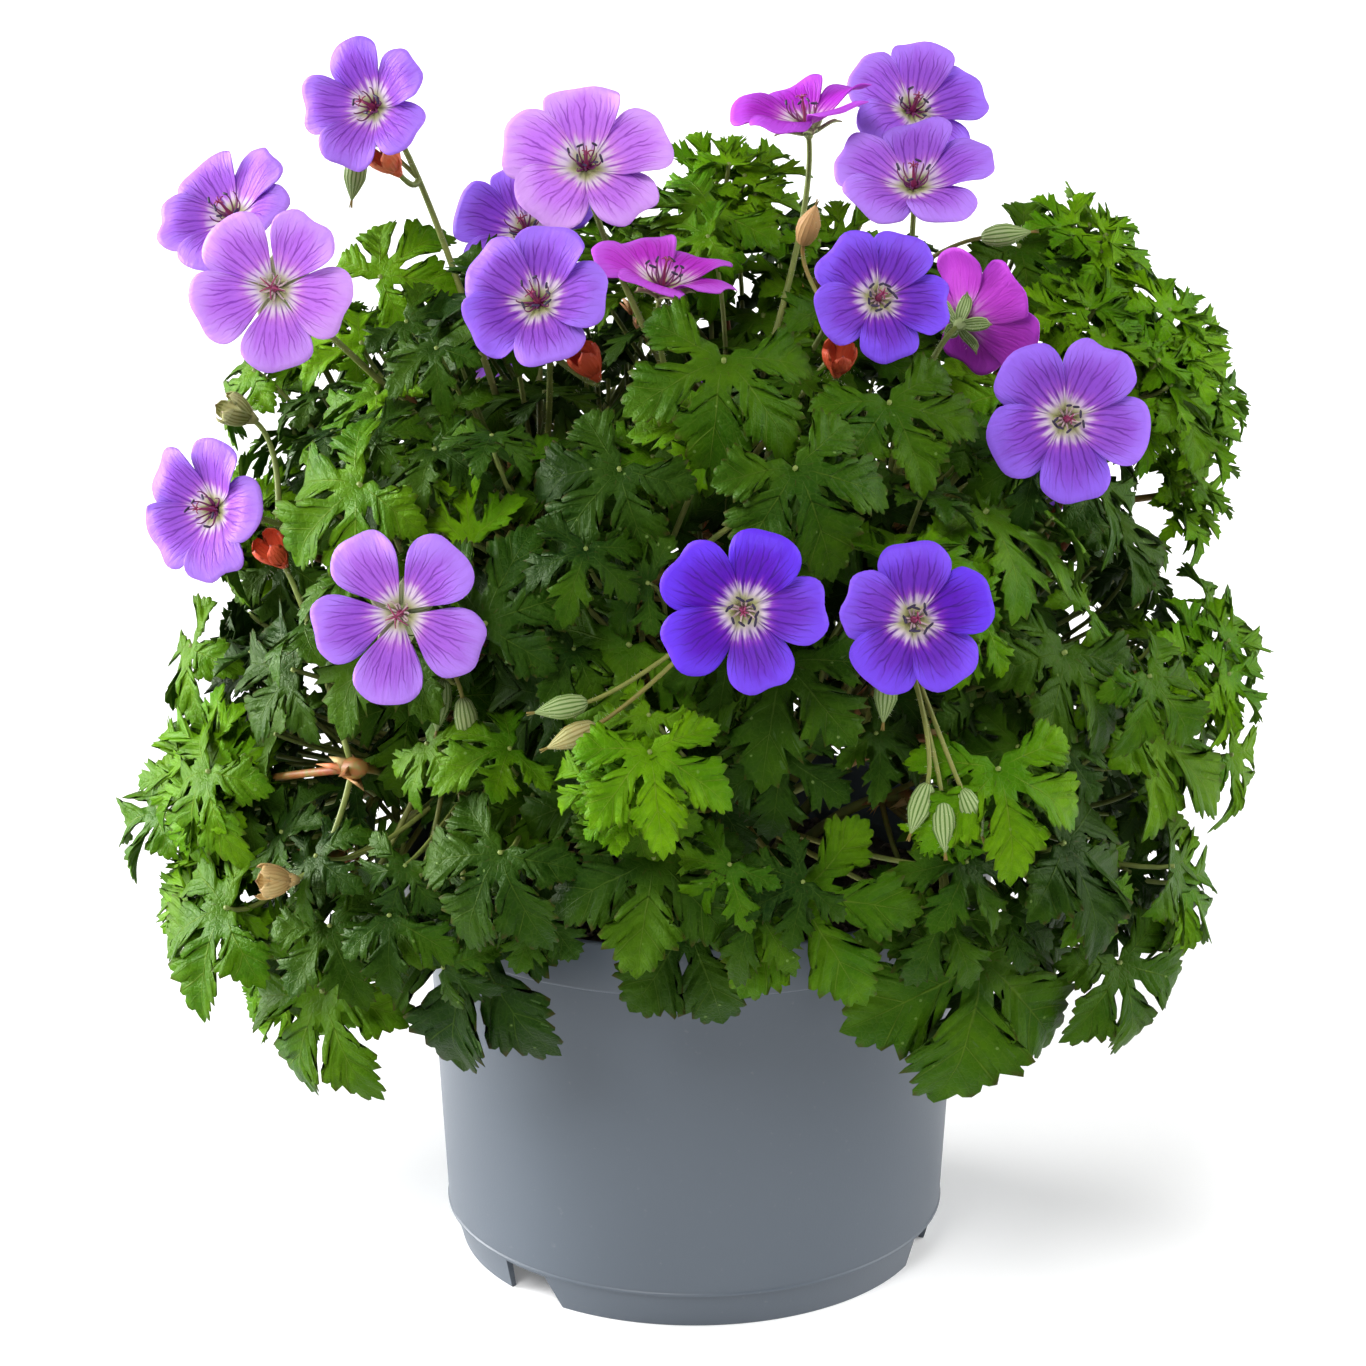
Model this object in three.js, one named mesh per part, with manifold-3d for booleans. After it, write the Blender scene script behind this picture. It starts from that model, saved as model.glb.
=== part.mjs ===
// A hardy geranium in flower, growing in a round plastic nursery pot.
// Millimetres, +Z up. The origin is the centre of the pot's foot on the ground, and -Y is the plant's front.
// The pot holds the potting mix. Lax leafy stems stand in holes in the mix and lean out over the rim. They carry
// lobed leaves on stalks, and the flower stalks with their calyxes and buds. Petals and stamens are their own pieces.
import * as THREE from "three";
import { mergeVertices } from "three/addons/utils/BufferGeometryUtils.js";
import Module from "manifold-3d";

const wasm = await Module();
wasm.setup();

// ---- Driving dimensions -------------------------------------------------------------------------------------------
const pot = {
  lipRadius: 95, lipHeight: 16, height: 134, lipWall: 2, lipDraft: 0.4,
  topRadius: 85.8, bottomRadius: 80.4, wall: 1.9, sides: 32,
  skirtHeight: 12.4, skirtTopRadius: 79.2, footRadius: 76, footWall: 1.8, step: 0.4, floorThickness: 1.6,
  notches: [-43, 70, 193], notchWidth: 17, notchFlare: 5, notchTop: 10.6, notchDepth: 12,
  drains: 4, drainRadius: 6, drainCircle: 50, drainSides: 8,
};
const mix = {
  top: 117, dip: 4, lump: 0.8, lumpWidths: [7, 9, 13], rings: [0.72, 0.4, 0], clearance: 0.4, sides: 24,
  holeRadius: 4.2, holeSides: 5, holeDepth: 14,
};
const crown = { centre: new THREE.Vector3(0, 0, 162), reachX: 150, reachY: 142, reachUp: 172, reachDown: 92 };
const stems = {
  count: 18, radius: 1.9, sides: 4, steps: 5, depth: 11, stand: 8, knee: 0.45, kneeRise: 26,
  rootInner: 7, rootOuter: 30, highest: 84, lowest: -10, offset: 20, reach: 0.76,
};
const leaf = {
  thickness: 0.8, droop: [0.16, 0.32], ripple: 0.05, rippleStep: 2.4, hub: 2.4, hubCorners: [-110, 0, 110],
  lobes: [[-108, 0.78], [-53, 0.95], [0, 1], [53, 0.95], [108, 0.78]], sinus: 0.38, base: 0.12,
  skyward: 0.55, tilt: 0.25, turn: 60, outward: 0.5,
  stalkRadius: 1.05, stalkSides: 3, stalkSteps: 2, stalkBelow: 20, stalkFrom: [0.6, 0.95], stalkPlaces: 5,
};
// A lobe's corners as shares of its length, along it and across it: on the large leaves a point between two
// shoulders, on the others a slanting blunt end.
const lobeCorners = { pointed: [[0.7, -0.3], [1, 0], [0.7, 0.3]], blunt: [[0.78, -0.28], [0.97, 0.15]] };
// The seeded leaves fill the crown's surface, on a spiral from its top down.
const seeded = {
  seed: 7, candidates: 260, highest: 89, lowest: -14, offset: 70,
  depth: [0.92, 1.02], radius: [32, 40], spacing: 39,
};
// The flat disc that stands for a leaf or a flower when others look for room beside it: shares of the leaf's
// radius, and the height in mm above a flower's heart. Near level discs keep the layer between them.
const room = { radius: 0.88, shift: 0.12, fall: 0.4, flowerRise: 4, level: 0.1, layer: 3 };
const petal = {
  count: 5, thickness: 0.8, hole: 2, ring: 5, ringRise: 0.9, widest: 0.66, width: 0.43, rise: 6.2, cup: 1.2,
  tipWidth: 0.27, tipRise: 6.8,
};
const calyx = { reach: 10.5, sinus: 3.2, below: 1.8, rise: 2.6, thickness: 0.8 };
const stamen = {
  column: 1.2, foot: -0.75, top: 8.4, reach: 5.6, rise: 5.6, start: 2.4, thick: 0.7, keel: 1.26, count: 5,
};
const flowerStalk = { radius: 1.15, sides: 3, steps: 4, from: 0.82, straight: 26 };
// The bud's profile as shares of its radius and of its length.
const bud = {
  radius: 3.3, length: 15, sides: 5, profile: [[0, -0.5], [0.8, -0.33], [1, 0], [0.45, 0.33], [0, 0.6]],
  stalkRadius: 0.9, stalkSides: 3, stalkSteps: 2, stalkSink: 2, straight: 12, fork: 0.62,
};
const gap = 0.5; // free space left round a piece that another one would cross
const cleanUp = 0.12; // edges shorter than this are closed up after cutting

// Flowers: centre in mm, the way it faces (azimuth from the front, + to the right, and elevation), its diameter,
// and how far its top petal is turned from upright (+ to the right).
const blooms = [
  { at: [-97, 0, 369], face: [-25, 22], size: 43, turn: -25 },
  { at: [-142, 12, 333], face: [-35, 44], size: 47, turn: 20 },
  { at: [-124, -44, 323], face: [-4, 16], size: 50, turn: 31 },
  { at: [-144, -46, 256], face: [-34, 14], size: 45, turn: 12 },
  { at: [-84, -116, 245], face: [-6, 10], size: 53, turn: -31 },
  { at: [-33, -6, 352], face: [4, 42], size: 53, turn: 0 },
  { at: [-52, 14, 328], face: [-12, 40], size: 44, turn: -10 },
  { at: [-46, -58, 322], face: [-14, 32], size: 46, turn: 11 },
  { at: [-10, -40, 323], face: [50, 76], size: 46, turn: 25 },
  { at: [34, 12, 362], face: [-60, 78], size: 46, turn: 5 },
  { at: [68, 44, 360], face: [14, 42], size: 46, turn: 15 },
  { at: [66, -6, 346], face: [-6, 60], size: 50, turn: 0 },
  { at: [53, -62, 324], face: [8, 24], size: 41, turn: 30 },
  { at: [80, -42, 313], face: [140, 14], size: 43, turn: 20 },
  { at: [108, -70, 290], face: [4, 15], size: 51, turn: 30 },
  { at: [13, -142, 254], face: [0, 12], size: 49, turn: 20 },
  { at: [61, -132, 248], face: [5, 20], size: 45, turn: 0 },
  { at: [-78, 120, 248], face: [208, 24], size: 50, turn: 10 },
  { at: [104, 108, 226], face: [136, 24], size: 50, turn: -20 },
  { at: [6, 150, 236], face: [184, 16], size: 50, turn: 30 },
];
// Buds: centre in mm, the way they point, and the number of the flower whose stalk they branch from.
const buds = [
  { at: [-104, 10, 346], face: [-60, -80], of: 0 },
  { at: [94, -10, 332], face: [84, 8], of: 11 },
  { at: [-74, -106, 214], face: [-40, -78], of: 4 },
  { at: [-66, -110, 210], face: [60, -80], of: 4 },
  { at: [-38, -138, 224], face: [-80, -8], of: 15 },
  { at: [54, -122, 222], face: [-30, -80], of: 16 },
  { at: [70, -142, 190], face: [20, -80], of: 16 },
  { at: [34, -24, 338], face: [30, 60], of: 12 },
];
// Leaves that stand out: centre in mm, the way the upper side faces, the radius, and how far the middle lobe is
// turned from hanging straight down (+ to the right, seen from in front of the leaf).
const largeLeaves = [
  { at: [30, -132, 166], face: [-6, 22], radius: 37, turn: 27 },
  { at: [86, -132, 204], face: [16, 36], radius: 32, turn: 3 },
  { at: [84, -106, 136], face: [30, 18], radius: 44, turn: -12 },
  { at: [108, -106, 172], face: [50, 40], radius: 36, turn: 50 },
  { at: [138, -56, 192], face: [58, 32], radius: 38, turn: 24 },
  { at: [146, -62, 148], face: [74, 16], radius: 34, turn: 26 },
  { at: [129, -22, 246], face: [66, 46], radius: 30, turn: 20 },
  { at: [162, -8, 214], face: [78, 40], radius: 30, turn: 10 },
  { at: [150, 0, 280], face: [60, 34], radius: 26, turn: 34 },
  { at: [128, 36, 312], face: [40, 52], radius: 26, turn: 60 },
  { at: [-148, -60, 178], face: [-54, 30], radius: 30, turn: -10 },
  { at: [-158, -10, 202], face: [-74, 24], radius: 26, turn: 40 },
  { at: [-168, -26, 154], face: [-62, 30], radius: 26, turn: -50 },
  { at: [-142, -76, 140], face: [-48, 34], radius: 36, turn: -58 },
  { at: [-112, -94, 120], face: [-36, 16], radius: 37, turn: -18 },
  { at: [-66, -110, 142], face: [-26, 16], radius: 42, turn: -12 },
  { at: [-56, -136, 180], face: [-24, 26], radius: 30, turn: -24 },
  { at: [-12, -140, 180], face: [0, 34], radius: 34, turn: -6 },
  { at: [-2, -116, 150], face: [6, 14], radius: 33, turn: 16 },
  { at: [-98, -82, 274], face: [-40, 34], radius: 33, turn: -34 },
  { at: [-60, -122, 244], face: [-18, 24], radius: 32, turn: 168 },
  { at: [-120, -72, 214], face: [-46, 24], radius: 29, turn: -80 },
  { at: [-142, -14, 246], face: [-80, 20], radius: 30, turn: -20 },
  { at: [-97, 6, 316], face: [-30, 44], radius: 26, turn: 150 },
  { at: [-138, 16, 284], face: [-66, 34], radius: 26, turn: -40 },
  { at: [-13, -152, 216], face: [0, 40], radius: 28, turn: 10 },
  { at: [5, 10, 336], face: [10, 62], radius: 32, turn: -60 },
  { at: [8, -86, 312], face: [4, 48], radius: 35, turn: -14 },
  { at: [56, -80, 298], face: [16, 48], radius: 30, turn: 12 },
  { at: [28, -116, 288], face: [10, 36], radius: 31, turn: 20 },
  { at: [-22, -102, 284], face: [-16, 38], radius: 30, turn: -30 },
  { at: [108, -92, 226], face: [40, 38], radius: 33, turn: -40 },
  { at: [101, 24, 322], face: [24, 56], radius: 29, turn: 40 },
  { at: [140, 54, 150], face: [110, 20], radius: 36, turn: 10 },
  { at: [70, 128, 142], face: [152, 18], radius: 38, turn: -14 },
  { at: [-6, 148, 152], face: [182, 24], radius: 36, turn: 20 },
  { at: [-92, 116, 140], face: [218, 18], radius: 38, turn: 12 },
  { at: [-146, 46, 148], face: [256, 22], radius: 34, turn: -20 },
];

const colours = { pot: 0x7d848e, mix: 0x3a2d27, green: 0x3f7a1c, petals: 0x7a45d8, stamens: 0x5a1238 };

// ---- Small maths --------------------------------------------------------------------------------------------------
const DEG = Math.PI / 180;
const GOLDEN_TURN = 137.508;
const UP = new THREE.Vector3(0, 0, 1);
const DOWN = new THREE.Vector3(0, 0, -1);

// The same draws every time: a linear congruential generator in whole numbers.
function drawer(seed) {
  let state = seed;
  return (low, high) => {
    state = (state * 1664525 + 1013904223) % 4294967296;
    return low + ((high - low) * state) / 4294967296;
  };
}

function directionAt(azimuth, elevation) {
  const flat = Math.cos(elevation * DEG);
  return new THREE.Vector3(Math.sin(azimuth * DEG) * flat, -Math.cos(azimuth * DEG) * flat, Math.sin(elevation * DEG));
}

function crownPoint({ azimuth, elevation }, depth) {
  const way = directionAt(azimuth, elevation);
  const reach = new THREE.Vector3(crown.reachX, crown.reachY, way.z > 0 ? crown.reachUp : crown.reachDown);
  return way.multiply(reach).multiplyScalar(depth).add(crown.centre);
}

// Directions spread evenly over the crown, from its top down to the lowest elevation.
function spiralDirection(index, count, highest, lowest, offset) {
  const top = Math.sin(highest * DEG);
  const height = top - ((index + 0.5) / count) * (top - Math.sin(lowest * DEG));
  return { azimuth: index * GOLDEN_TURN + offset, elevation: Math.asin(height) / DEG };
}

const polar = (angle, radius, z) => new THREE.Vector3(Math.sin(angle) * radius, Math.cos(angle) * radius, z);

const nearest = (things, measure) =>
  things.reduce((best, thing) => (measure(thing) < measure(best) ? thing : best));

const moved = (x, y, z) => new THREE.Matrix4().makeTranslation(x, y, z);

// A blade's own frame: Y along its middle lobe, Z out of its upper face. The lobe hangs the way of hang, turned by
// an angle (+ anticlockwise, seen from in front).
function bladeFrame(at, face, hang, turn) {
  const tip = hang.clone().addScaledVector(face, -hang.dot(face)).normalize().applyAxisAngle(face, turn * DEG);
  return new THREE.Matrix4().makeBasis(new THREE.Vector3().crossVectors(tip, face), tip, face).setPosition(at);
}

// Whether two flat discs, each with a centre, a normal and a radius, pass through each other.
function discsCross(a, b) {
  const apart = b.centre.clone().sub(a.centre);
  if (apart.length() > a.radius + b.radius) return false;
  const line = new THREE.Vector3().crossVectors(a.normal, b.normal);
  if (line.length() < room.level) return Math.abs(apart.dot(a.normal)) < room.layer;
  line.normalize();
  const acrossA = new THREE.Vector3().crossVectors(line, a.normal);
  const acrossB = new THREE.Vector3().crossVectors(line, b.normal);
  const offA = apart.dot(b.normal) / acrossA.dot(b.normal);
  const offB = -apart.dot(a.normal) / acrossB.dot(a.normal);
  if (Math.abs(offA) > a.radius || Math.abs(offB) > b.radius) return false;
  const between = apart.addScaledVector(acrossB, offB).addScaledVector(acrossA, -offA).length();
  return between < Math.sqrt(a.radius ** 2 - offA ** 2) + Math.sqrt(b.radius ** 2 - offB ** 2);
}

// ---- Solids -------------------------------------------------------------------------------------------------------
function solid(geometry, matrix) {
  const bare = new THREE.BufferGeometry().setAttribute("position", geometry.getAttribute("position").clone());
  bare.setIndex(geometry.index ?? null);
  if (matrix) bare.applyMatrix4(matrix);
  const merged = mergeVertices(bare, 1e-4);
  const vertProperties = merged.attributes.position.array;
  const triVerts = new Uint32Array(merged.index.array);
  const made = new wasm.Manifold(new wasm.Mesh({ numProp: 3, vertProperties, triVerts }));
  if (made.volume() > 0) return made;
  triVerts.reverse();
  return new wasm.Manifold(new wasm.Mesh({ numProp: 3, vertProperties, triVerts }));
}

function indexed(points, index) {
  const geometry = new THREE.BufferGeometry().setFromPoints(points);
  return geometry.setIndex(index);
}

const joined = (solids) => solids.reduce((all, one) => all.add(one));

function boxesMeet(a, b) {
  const [p, q] = [a.boundingBox(), b.boundingBox()];
  return [0, 1, 2].every((i) => p.min[i] < q.max[i] && q.min[i] < p.max[i]);
}

const clearOf = (piece, others) =>
  others.reduce((left, other) => (boxesMeet(left, other) ? left.subtract(other) : left), piece);

// The largest connected body, without the scraps that a cut leaves loose.
const mainBody = (piece) => nearest(piece.decompose(), (body) => -body.volume());

function meshOf(name, piece, color, roughness) {
  const { vertProperties, triVerts } = mainBody(piece).simplify(cleanUp).getMesh();
  const geometry = new THREE.BufferGeometry();
  geometry.setAttribute("position", new THREE.BufferAttribute(vertProperties, 3));
  geometry.setIndex(new THREE.BufferAttribute(triVerts, 1));
  geometry.computeVertexNormals();
  const mesh = new THREE.Mesh(geometry, new THREE.MeshStandardMaterial({ color, roughness, metalness: 0 }));
  mesh.name = name;
  return mesh;
}

// A tube of few sides along a curve.
function tube(path, radius, sides, steps) {
  const corners = Array.from({ length: sides }, (_, i) => (i / sides) * 2 * Math.PI);
  const section = new THREE.Shape(corners.map((a) => new THREE.Vector2(Math.cos(a) * radius, Math.sin(a) * radius)));
  return solid(new THREE.ExtrudeGeometry(section, { steps, extrudePath: path }));
}

// A thin blade: its middle surface as points and triangles, thickened by half its thickness along Z to each side.
function blade(points, faces, thickness) {
  const count = points.length;
  const side = (shift) => points.map((p) => p.clone().setZ(p.z + shift));
  const edges = new Set(faces.flatMap(([a, b, c]) => [`${a} ${b}`, `${b} ${c}`, `${c} ${a}`]));
  const rim = [...edges].map((edge) => edge.split(" ").map(Number)).filter(([a, b]) => !edges.has(`${b} ${a}`));
  const index = [
    ...faces.flatMap(([a, b, c]) => [a, b, c, a + count, c + count, b + count]),
    ...rim.flatMap(([a, b]) => [a, a + count, b + count, a, b + count, b]),
  ];
  return indexed([...side(thickness / 2), ...side(-thickness / 2)], index);
}

function turned(profile, sides) {
  return new THREE.LatheGeometry(profile.map(([r, z]) => new THREE.Vector2(r, z)), sides).rotateX(Math.PI / 2);
}

// ---- Pot and potting mix ------------------------------------------------------------------------------------------
const lipUnder = pot.height - pot.lipHeight;

const innerRadius = (z) => {
  const share = (z - pot.skirtHeight) / (lipUnder - pot.skirtHeight);
  return pot.bottomRadius - pot.wall + share * (pot.topRadius - pot.bottomRadius);
};

function makePot() {
  const floorUnder = pot.skirtHeight - pot.floorThickness;
  const lipInner = pot.lipRadius - pot.lipWall;
  const body = solid(turned([
    [0, floorUnder], [pot.footRadius, floorUnder - pot.footWall], [pot.footRadius - pot.footWall, 0],
    [pot.footRadius, 0], [pot.skirtTopRadius, pot.skirtHeight - pot.step], [pot.bottomRadius, pot.skirtHeight],
    [pot.topRadius, lipUnder - 1], [pot.lipRadius - pot.lipDraft, lipUnder], [pot.lipRadius, pot.height],
    [lipInner, pot.height], [lipInner - pot.lipDraft, lipUnder + pot.lipWall], [innerRadius(lipUnder), lipUnder],
    [innerRadius(pot.skirtHeight), pot.skirtHeight], [0, pot.skirtHeight],
  ], pot.sides));
  const half = pot.notchWidth / 2;
  const notch = new THREE.Shape([
    new THREE.Vector2(-half, -1), new THREE.Vector2(half + pot.notchFlare, -1),
    new THREE.Vector2(half, pot.notchTop), new THREE.Vector2(-half, pot.notchTop),
  ]);
  const through = { depth: 2 * pot.notchDepth, bevelEnabled: false };
  const cutter = new THREE.ExtrudeGeometry(notch, through).rotateX(Math.PI / 2);
  const notches = pot.notches.map((azimuth) => {
    const place = new THREE.Matrix4().makeRotationZ(azimuth * DEG);
    return solid(cutter, place.multiply(moved(0, pot.notchDepth - pot.footRadius, 0)));
  });
  const { drainRadius, drainSides, floorThickness } = pot;
  const drain = new THREE.CylinderGeometry(drainRadius, drainRadius, 5 * floorThickness, drainSides);
  drain.rotateX(Math.PI / 2);
  const drains = Array.from({ length: pot.drains }, (_, i) => {
    const way = directionAt((i + 0.5) * (360 / pot.drains), 0).multiplyScalar(pot.drainCircle);
    return solid(drain, moved(way.x, way.y, pot.skirtHeight));
  });
  return clearOf(body, [...notches, ...drains]);
}

const mixHeight = (x, y) => {
  const [wideX, wideY, slanting] = mix.lumpWidths;
  const lumps = Math.sin(x / wideX) * Math.cos(y / wideY) + Math.sin((x + y) / slanting);
  return mix.top + mix.lump * lumps - mix.dip * (Math.hypot(x, y) / pot.topRadius) ** 2;
};

function makeMix(roots) {
  const [low, edge] = [pot.skirtHeight + mix.clearance, mix.top - mix.dip];
  const [bottom, top] = [low, edge].map((z) => innerRadius(z) - mix.clearance);
  const rings = mix.rings.map((share) => [share * top, mix.top]);
  const geometry = turned([[0, low], [bottom, low], [top, edge], ...rings], mix.sides);
  const position = geometry.getAttribute("position");
  for (let i = 0; i < position.count; i++) {
    const [x, y, z] = [position.getX(i), position.getY(i), position.getZ(i)];
    if (z > edge + 1) position.setZ(i, mixHeight(x, y));
  }
  const { holeRadius, holeDepth, holeSides } = mix;
  const drill = new THREE.CylinderGeometry(holeRadius, holeRadius, 2 * holeDepth, holeSides).rotateX(Math.PI / 2);
  return clearOf(solid(geometry), roots.map((root) => solid(drill, moved(root.x, root.y, mix.top))));
}

// The pot and its contents as one filled block, a little larger all round, which the plant stays clear of. It has
// a well in the middle, where the stems go down into their holes.
function potBlock() {
  const [wellRadius, wellFloor] = [stems.rootOuter + 2 * mix.holeRadius, mix.top - stems.depth - gap];
  return solid(turned([
    [0, wellFloor - 1], [pot.topRadius, wellFloor - 1], [pot.topRadius + gap, lipUnder - gap],
    [pot.lipRadius + gap, lipUnder - gap], [pot.lipRadius + gap, pot.height + gap],
    [pot.lipRadius - pot.lipWall - 1, pot.height + gap], [innerRadius(lipUnder) - gap, lipUnder + gap],
    [wellRadius, mix.top + 2 * mix.lump + gap], [wellRadius, wellFloor], [0, wellFloor],
  ], pot.sides));
}

// ---- Where everything grows ---------------------------------------------------------------------------------------
function planStems() {
  return Array.from({ length: stems.count }, (_, i) => {
    const way = spiralDirection(i, stems.count, stems.highest, stems.lowest, stems.offset);
    const share = (stems.highest - way.elevation) / (stems.highest - stems.lowest);
    const root = directionAt(way.azimuth, 0);
    root.multiplyScalar(stems.rootInner + share * (stems.rootOuter - stems.rootInner)).setZ(mix.top);
    const tip = crownPoint(way, stems.reach);
    const knee = root.clone().lerp(tip, stems.knee).addScaledVector(UP, stems.kneeRise * share);
    const [foot, collar] = [-stems.depth, stems.stand].map((rise) => root.clone().setZ(mix.top + rise));
    const path = new THREE.CatmullRomCurve3([foot, collar, knee, tip]);
    return { name: `leafy_stem_${String(i + 1).padStart(2, "0")}`, root, path, leaves: [], flowers: [] };
  });
}

const flowerFrame = ({ at, face, turn }) => bladeFrame(new THREE.Vector3(...at), directionAt(...face), UP, -turn);

function discIn(frame, radius, shift, rise) {
  const centre = new THREE.Vector3(0, shift, rise).applyMatrix4(frame);
  return { centre, normal: new THREE.Vector3().setFromMatrixColumn(frame, 2), radius };
}

function leafAt(at, face, hang, turn, radius, droop, corners) {
  const frame = bladeFrame(at, face, hang, turn);
  const disc = discIn(frame, room.radius * radius, room.shift * radius, -room.fall * droop * radius);
  return { at, frame, radius, droop, corners, disc };
}

// The way a leaf lying on the crown faces: out from the crown, tipped up towards the light.
function crownFace(at) {
  const out = at.clone().sub(crown.centre);
  out.divide(new THREE.Vector3(crown.reachX ** 2, crown.reachY ** 2, crown.reachUp ** 2)).normalize();
  return out.addScaledVector(UP, leaf.skyward).normalize();
}

// The large leaves come first. Seeded ones then fill each layer of the crown wherever they have room.
function planLeaves() {
  const draw = drawer(seeded.seed);
  const taken = blooms.map((bloom) => discIn(flowerFrame(bloom), bloom.size / 2, 0, room.flowerRise));
  const planned = largeLeaves.map(({ at, face, radius, turn }) => {
    const droop = draw(...leaf.droop);
    return leafAt(new THREE.Vector3(...at), directionAt(...face), DOWN, turn, radius, droop, lobeCorners.pointed);
  });
  for (let i = 0; i < seeded.candidates; i++) {
    const way = spiralDirection(i, seeded.candidates, seeded.highest, seeded.lowest, seeded.offset);
    const at = crownPoint(way, draw(...seeded.depth));
    const lean = new THREE.Vector3(draw(-1, 1), draw(-1, 1), draw(-1, 1)).multiplyScalar(leaf.tilt);
    const face = crownFace(at).add(lean).normalize();
    const hang = directionAt(way.azimuth, 0).multiplyScalar(leaf.outward).add(DOWN);
    const turn = draw(-leaf.turn, leaf.turn);
    const one = leafAt(at, face, hang, turn, draw(...seeded.radius), draw(...leaf.droop), lobeCorners.blunt);
    const near = planned.some((other) => other.at.distanceTo(at) < seeded.spacing);
    const crossing = [...taken, ...planned.map((other) => other.disc)].some((disc) => discsCross(disc, one.disc));
    if (!near && !crossing) planned.push(one);
  }
  return planned;
}

// ---- Leaves and stems ---------------------------------------------------------------------------------------------
// The leaf's outline as [angle from the middle lobe, share of its radius]: each lobe's corners, then the valley.
const leafOutline = (corners) => leaf.lobes.flatMap(([angle, length], i) => {
  const next = leaf.lobes[i + 1];
  const valley = next ? [(angle + next[0]) / 2, leaf.sinus] : [180, leaf.base];
  const lobe = corners.map(([along, across]) =>
    [angle + Math.atan2(across, along) / DEG, length * Math.hypot(along, across)]);
  return [...lobe, valley];
});

function leafBlade(one, growth, thickness) {
  const outline = leafOutline(one.corners).map(([angle, share], i) => {
    const reach = share * one.radius;
    const wave = leaf.ripple * reach * Math.sin(i * leaf.rippleStep + one.radius);
    return polar(angle * DEG, reach + growth, wave - one.droop * reach * share);
  });
  const hub = leaf.hubCorners.map((angle) => polar(angle * DEG, leaf.hub, 0));
  const count = outline.length;
  const inner = (i) => count + Math.floor((i * hub.length) / count);
  const faces = outline.flatMap((_, i) => {
    const next = (i + 1) % count;
    const web = [inner(i), next, i];
    return inner(i) === inner(next) ? [web] : [web, [inner(i), inner(next), next]];
  });
  return solid(blade([...outline, ...hub], [...faces, [count + 2, count + 1, count]], thickness), one.frame);
}

function leafStalk(one, stem, radius) {
  const face = new THREE.Vector3().setFromMatrixColumn(one.frame, 2);
  const bend = one.at.clone().addScaledVector(face, -leaf.stalkBelow);
  const path = new THREE.QuadraticBezierCurve3(stem.path.getPointAt(one.from), bend, one.at);
  return tube(path, radius, leaf.stalkSides, leaf.stalkSteps);
}

// ---- Flowers ------------------------------------------------------------------------------------------------------
// One skin for all the petals: a ring round the central hole, then each petal widening to its blunt end.
function petals(bloom, thickness, growth) {
  const length = bloom.size / 2;
  const turn = (2 * Math.PI) / petal.count;
  const [points, faces] = [[], []];
  const put = (p) => points.push(p) - 1;
  const [hole, ring] = [[petal.hole - growth, 0], [petal.ring, petal.ringRise]].map(([radius, z]) =>
    Array.from({ length: petal.count }, (_, i) => put(polar((i - 0.5) * turn, radius, z))));
  for (let i = 0; i < petal.count; i++) {
    const next = (i + 1) % petal.count;
    const place = (side, share, width, z) => {
      const p = new THREE.Vector3(side * (width * length + growth), share * length, z);
      return put(p.applyAxisAngle(UP, -i * turn));
    };
    const [left, right] = [-1, 1].map((side) => place(side, petal.widest, petal.width, petal.rise));
    const centre = place(0, petal.widest, 0, petal.rise - petal.cup);
    const end = 1 + growth / length;
    const [endLeft, endRight] = [-1, 1].map((side) => place(side, end, petal.tipWidth, petal.tipRise));
    faces.push([hole[i], ring[i], ring[next]], [hole[i], ring[next], hole[next]]);
    faces.push([left, centre, ring[i]], [centre, ring[next], ring[i]], [centre, right, ring[next]]);
    faces.push([endLeft, centre, left], [endLeft, endRight, centre], [endRight, right, centre]);
  }
  return solid(blade(points, faces, thickness), flowerFrame(bloom));
}

// The style with the stamens spreading from it: a pointed column with five three-sided arms.
function stamens(bloom, growth) {
  const turn = (2 * Math.PI) / stamen.count;
  const [width, thick] = [stamen.column + growth, stamen.thick + growth];
  const [points, index] = [[], []];
  const put = (p) => points.push(p) - 1;
  const sectors = Array.from({ length: stamen.count }, (_, i) => {
    const angle = i * turn;
    const end = (side, z) => {
      const across = polar(angle + Math.PI / 2, side * thick, 0);
      return put(polar(angle, stamen.reach + growth, z).add(across));
    };
    return {
      foot: put(polar(angle - turn / 2, width, stamen.foot - growth)),
      neck: put(polar(angle - turn / 2, width, stamen.start + growth)),
      root: put(polar(angle, width, stamen.start - 2 * stamen.thick - growth)),
      left: end(-1, stamen.rise + growth),
      right: end(1, stamen.rise + growth),
      under: end(0, stamen.rise - stamen.keel - growth),
    };
  });
  const [tip, base] = [stamen.top + growth, stamen.foot - growth].map((z) => put(new THREE.Vector3(0, 0, z)));
  sectors.forEach(({ foot, neck, root, left, right, under }, i) => {
    const next = sectors[(i + 1) % stamen.count];
    index.push(base, foot, next.foot, foot, neck, root, foot, root, next.foot, root, next.neck, next.foot);
    index.push(neck, left, under, neck, under, root, root, under, right, root, right, next.neck);
    index.push(neck, right, left, neck, next.neck, right, left, right, under, neck, tip, next.neck);
  });
  return solid(indexed(points, index), flowerFrame(bloom));
}

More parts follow.
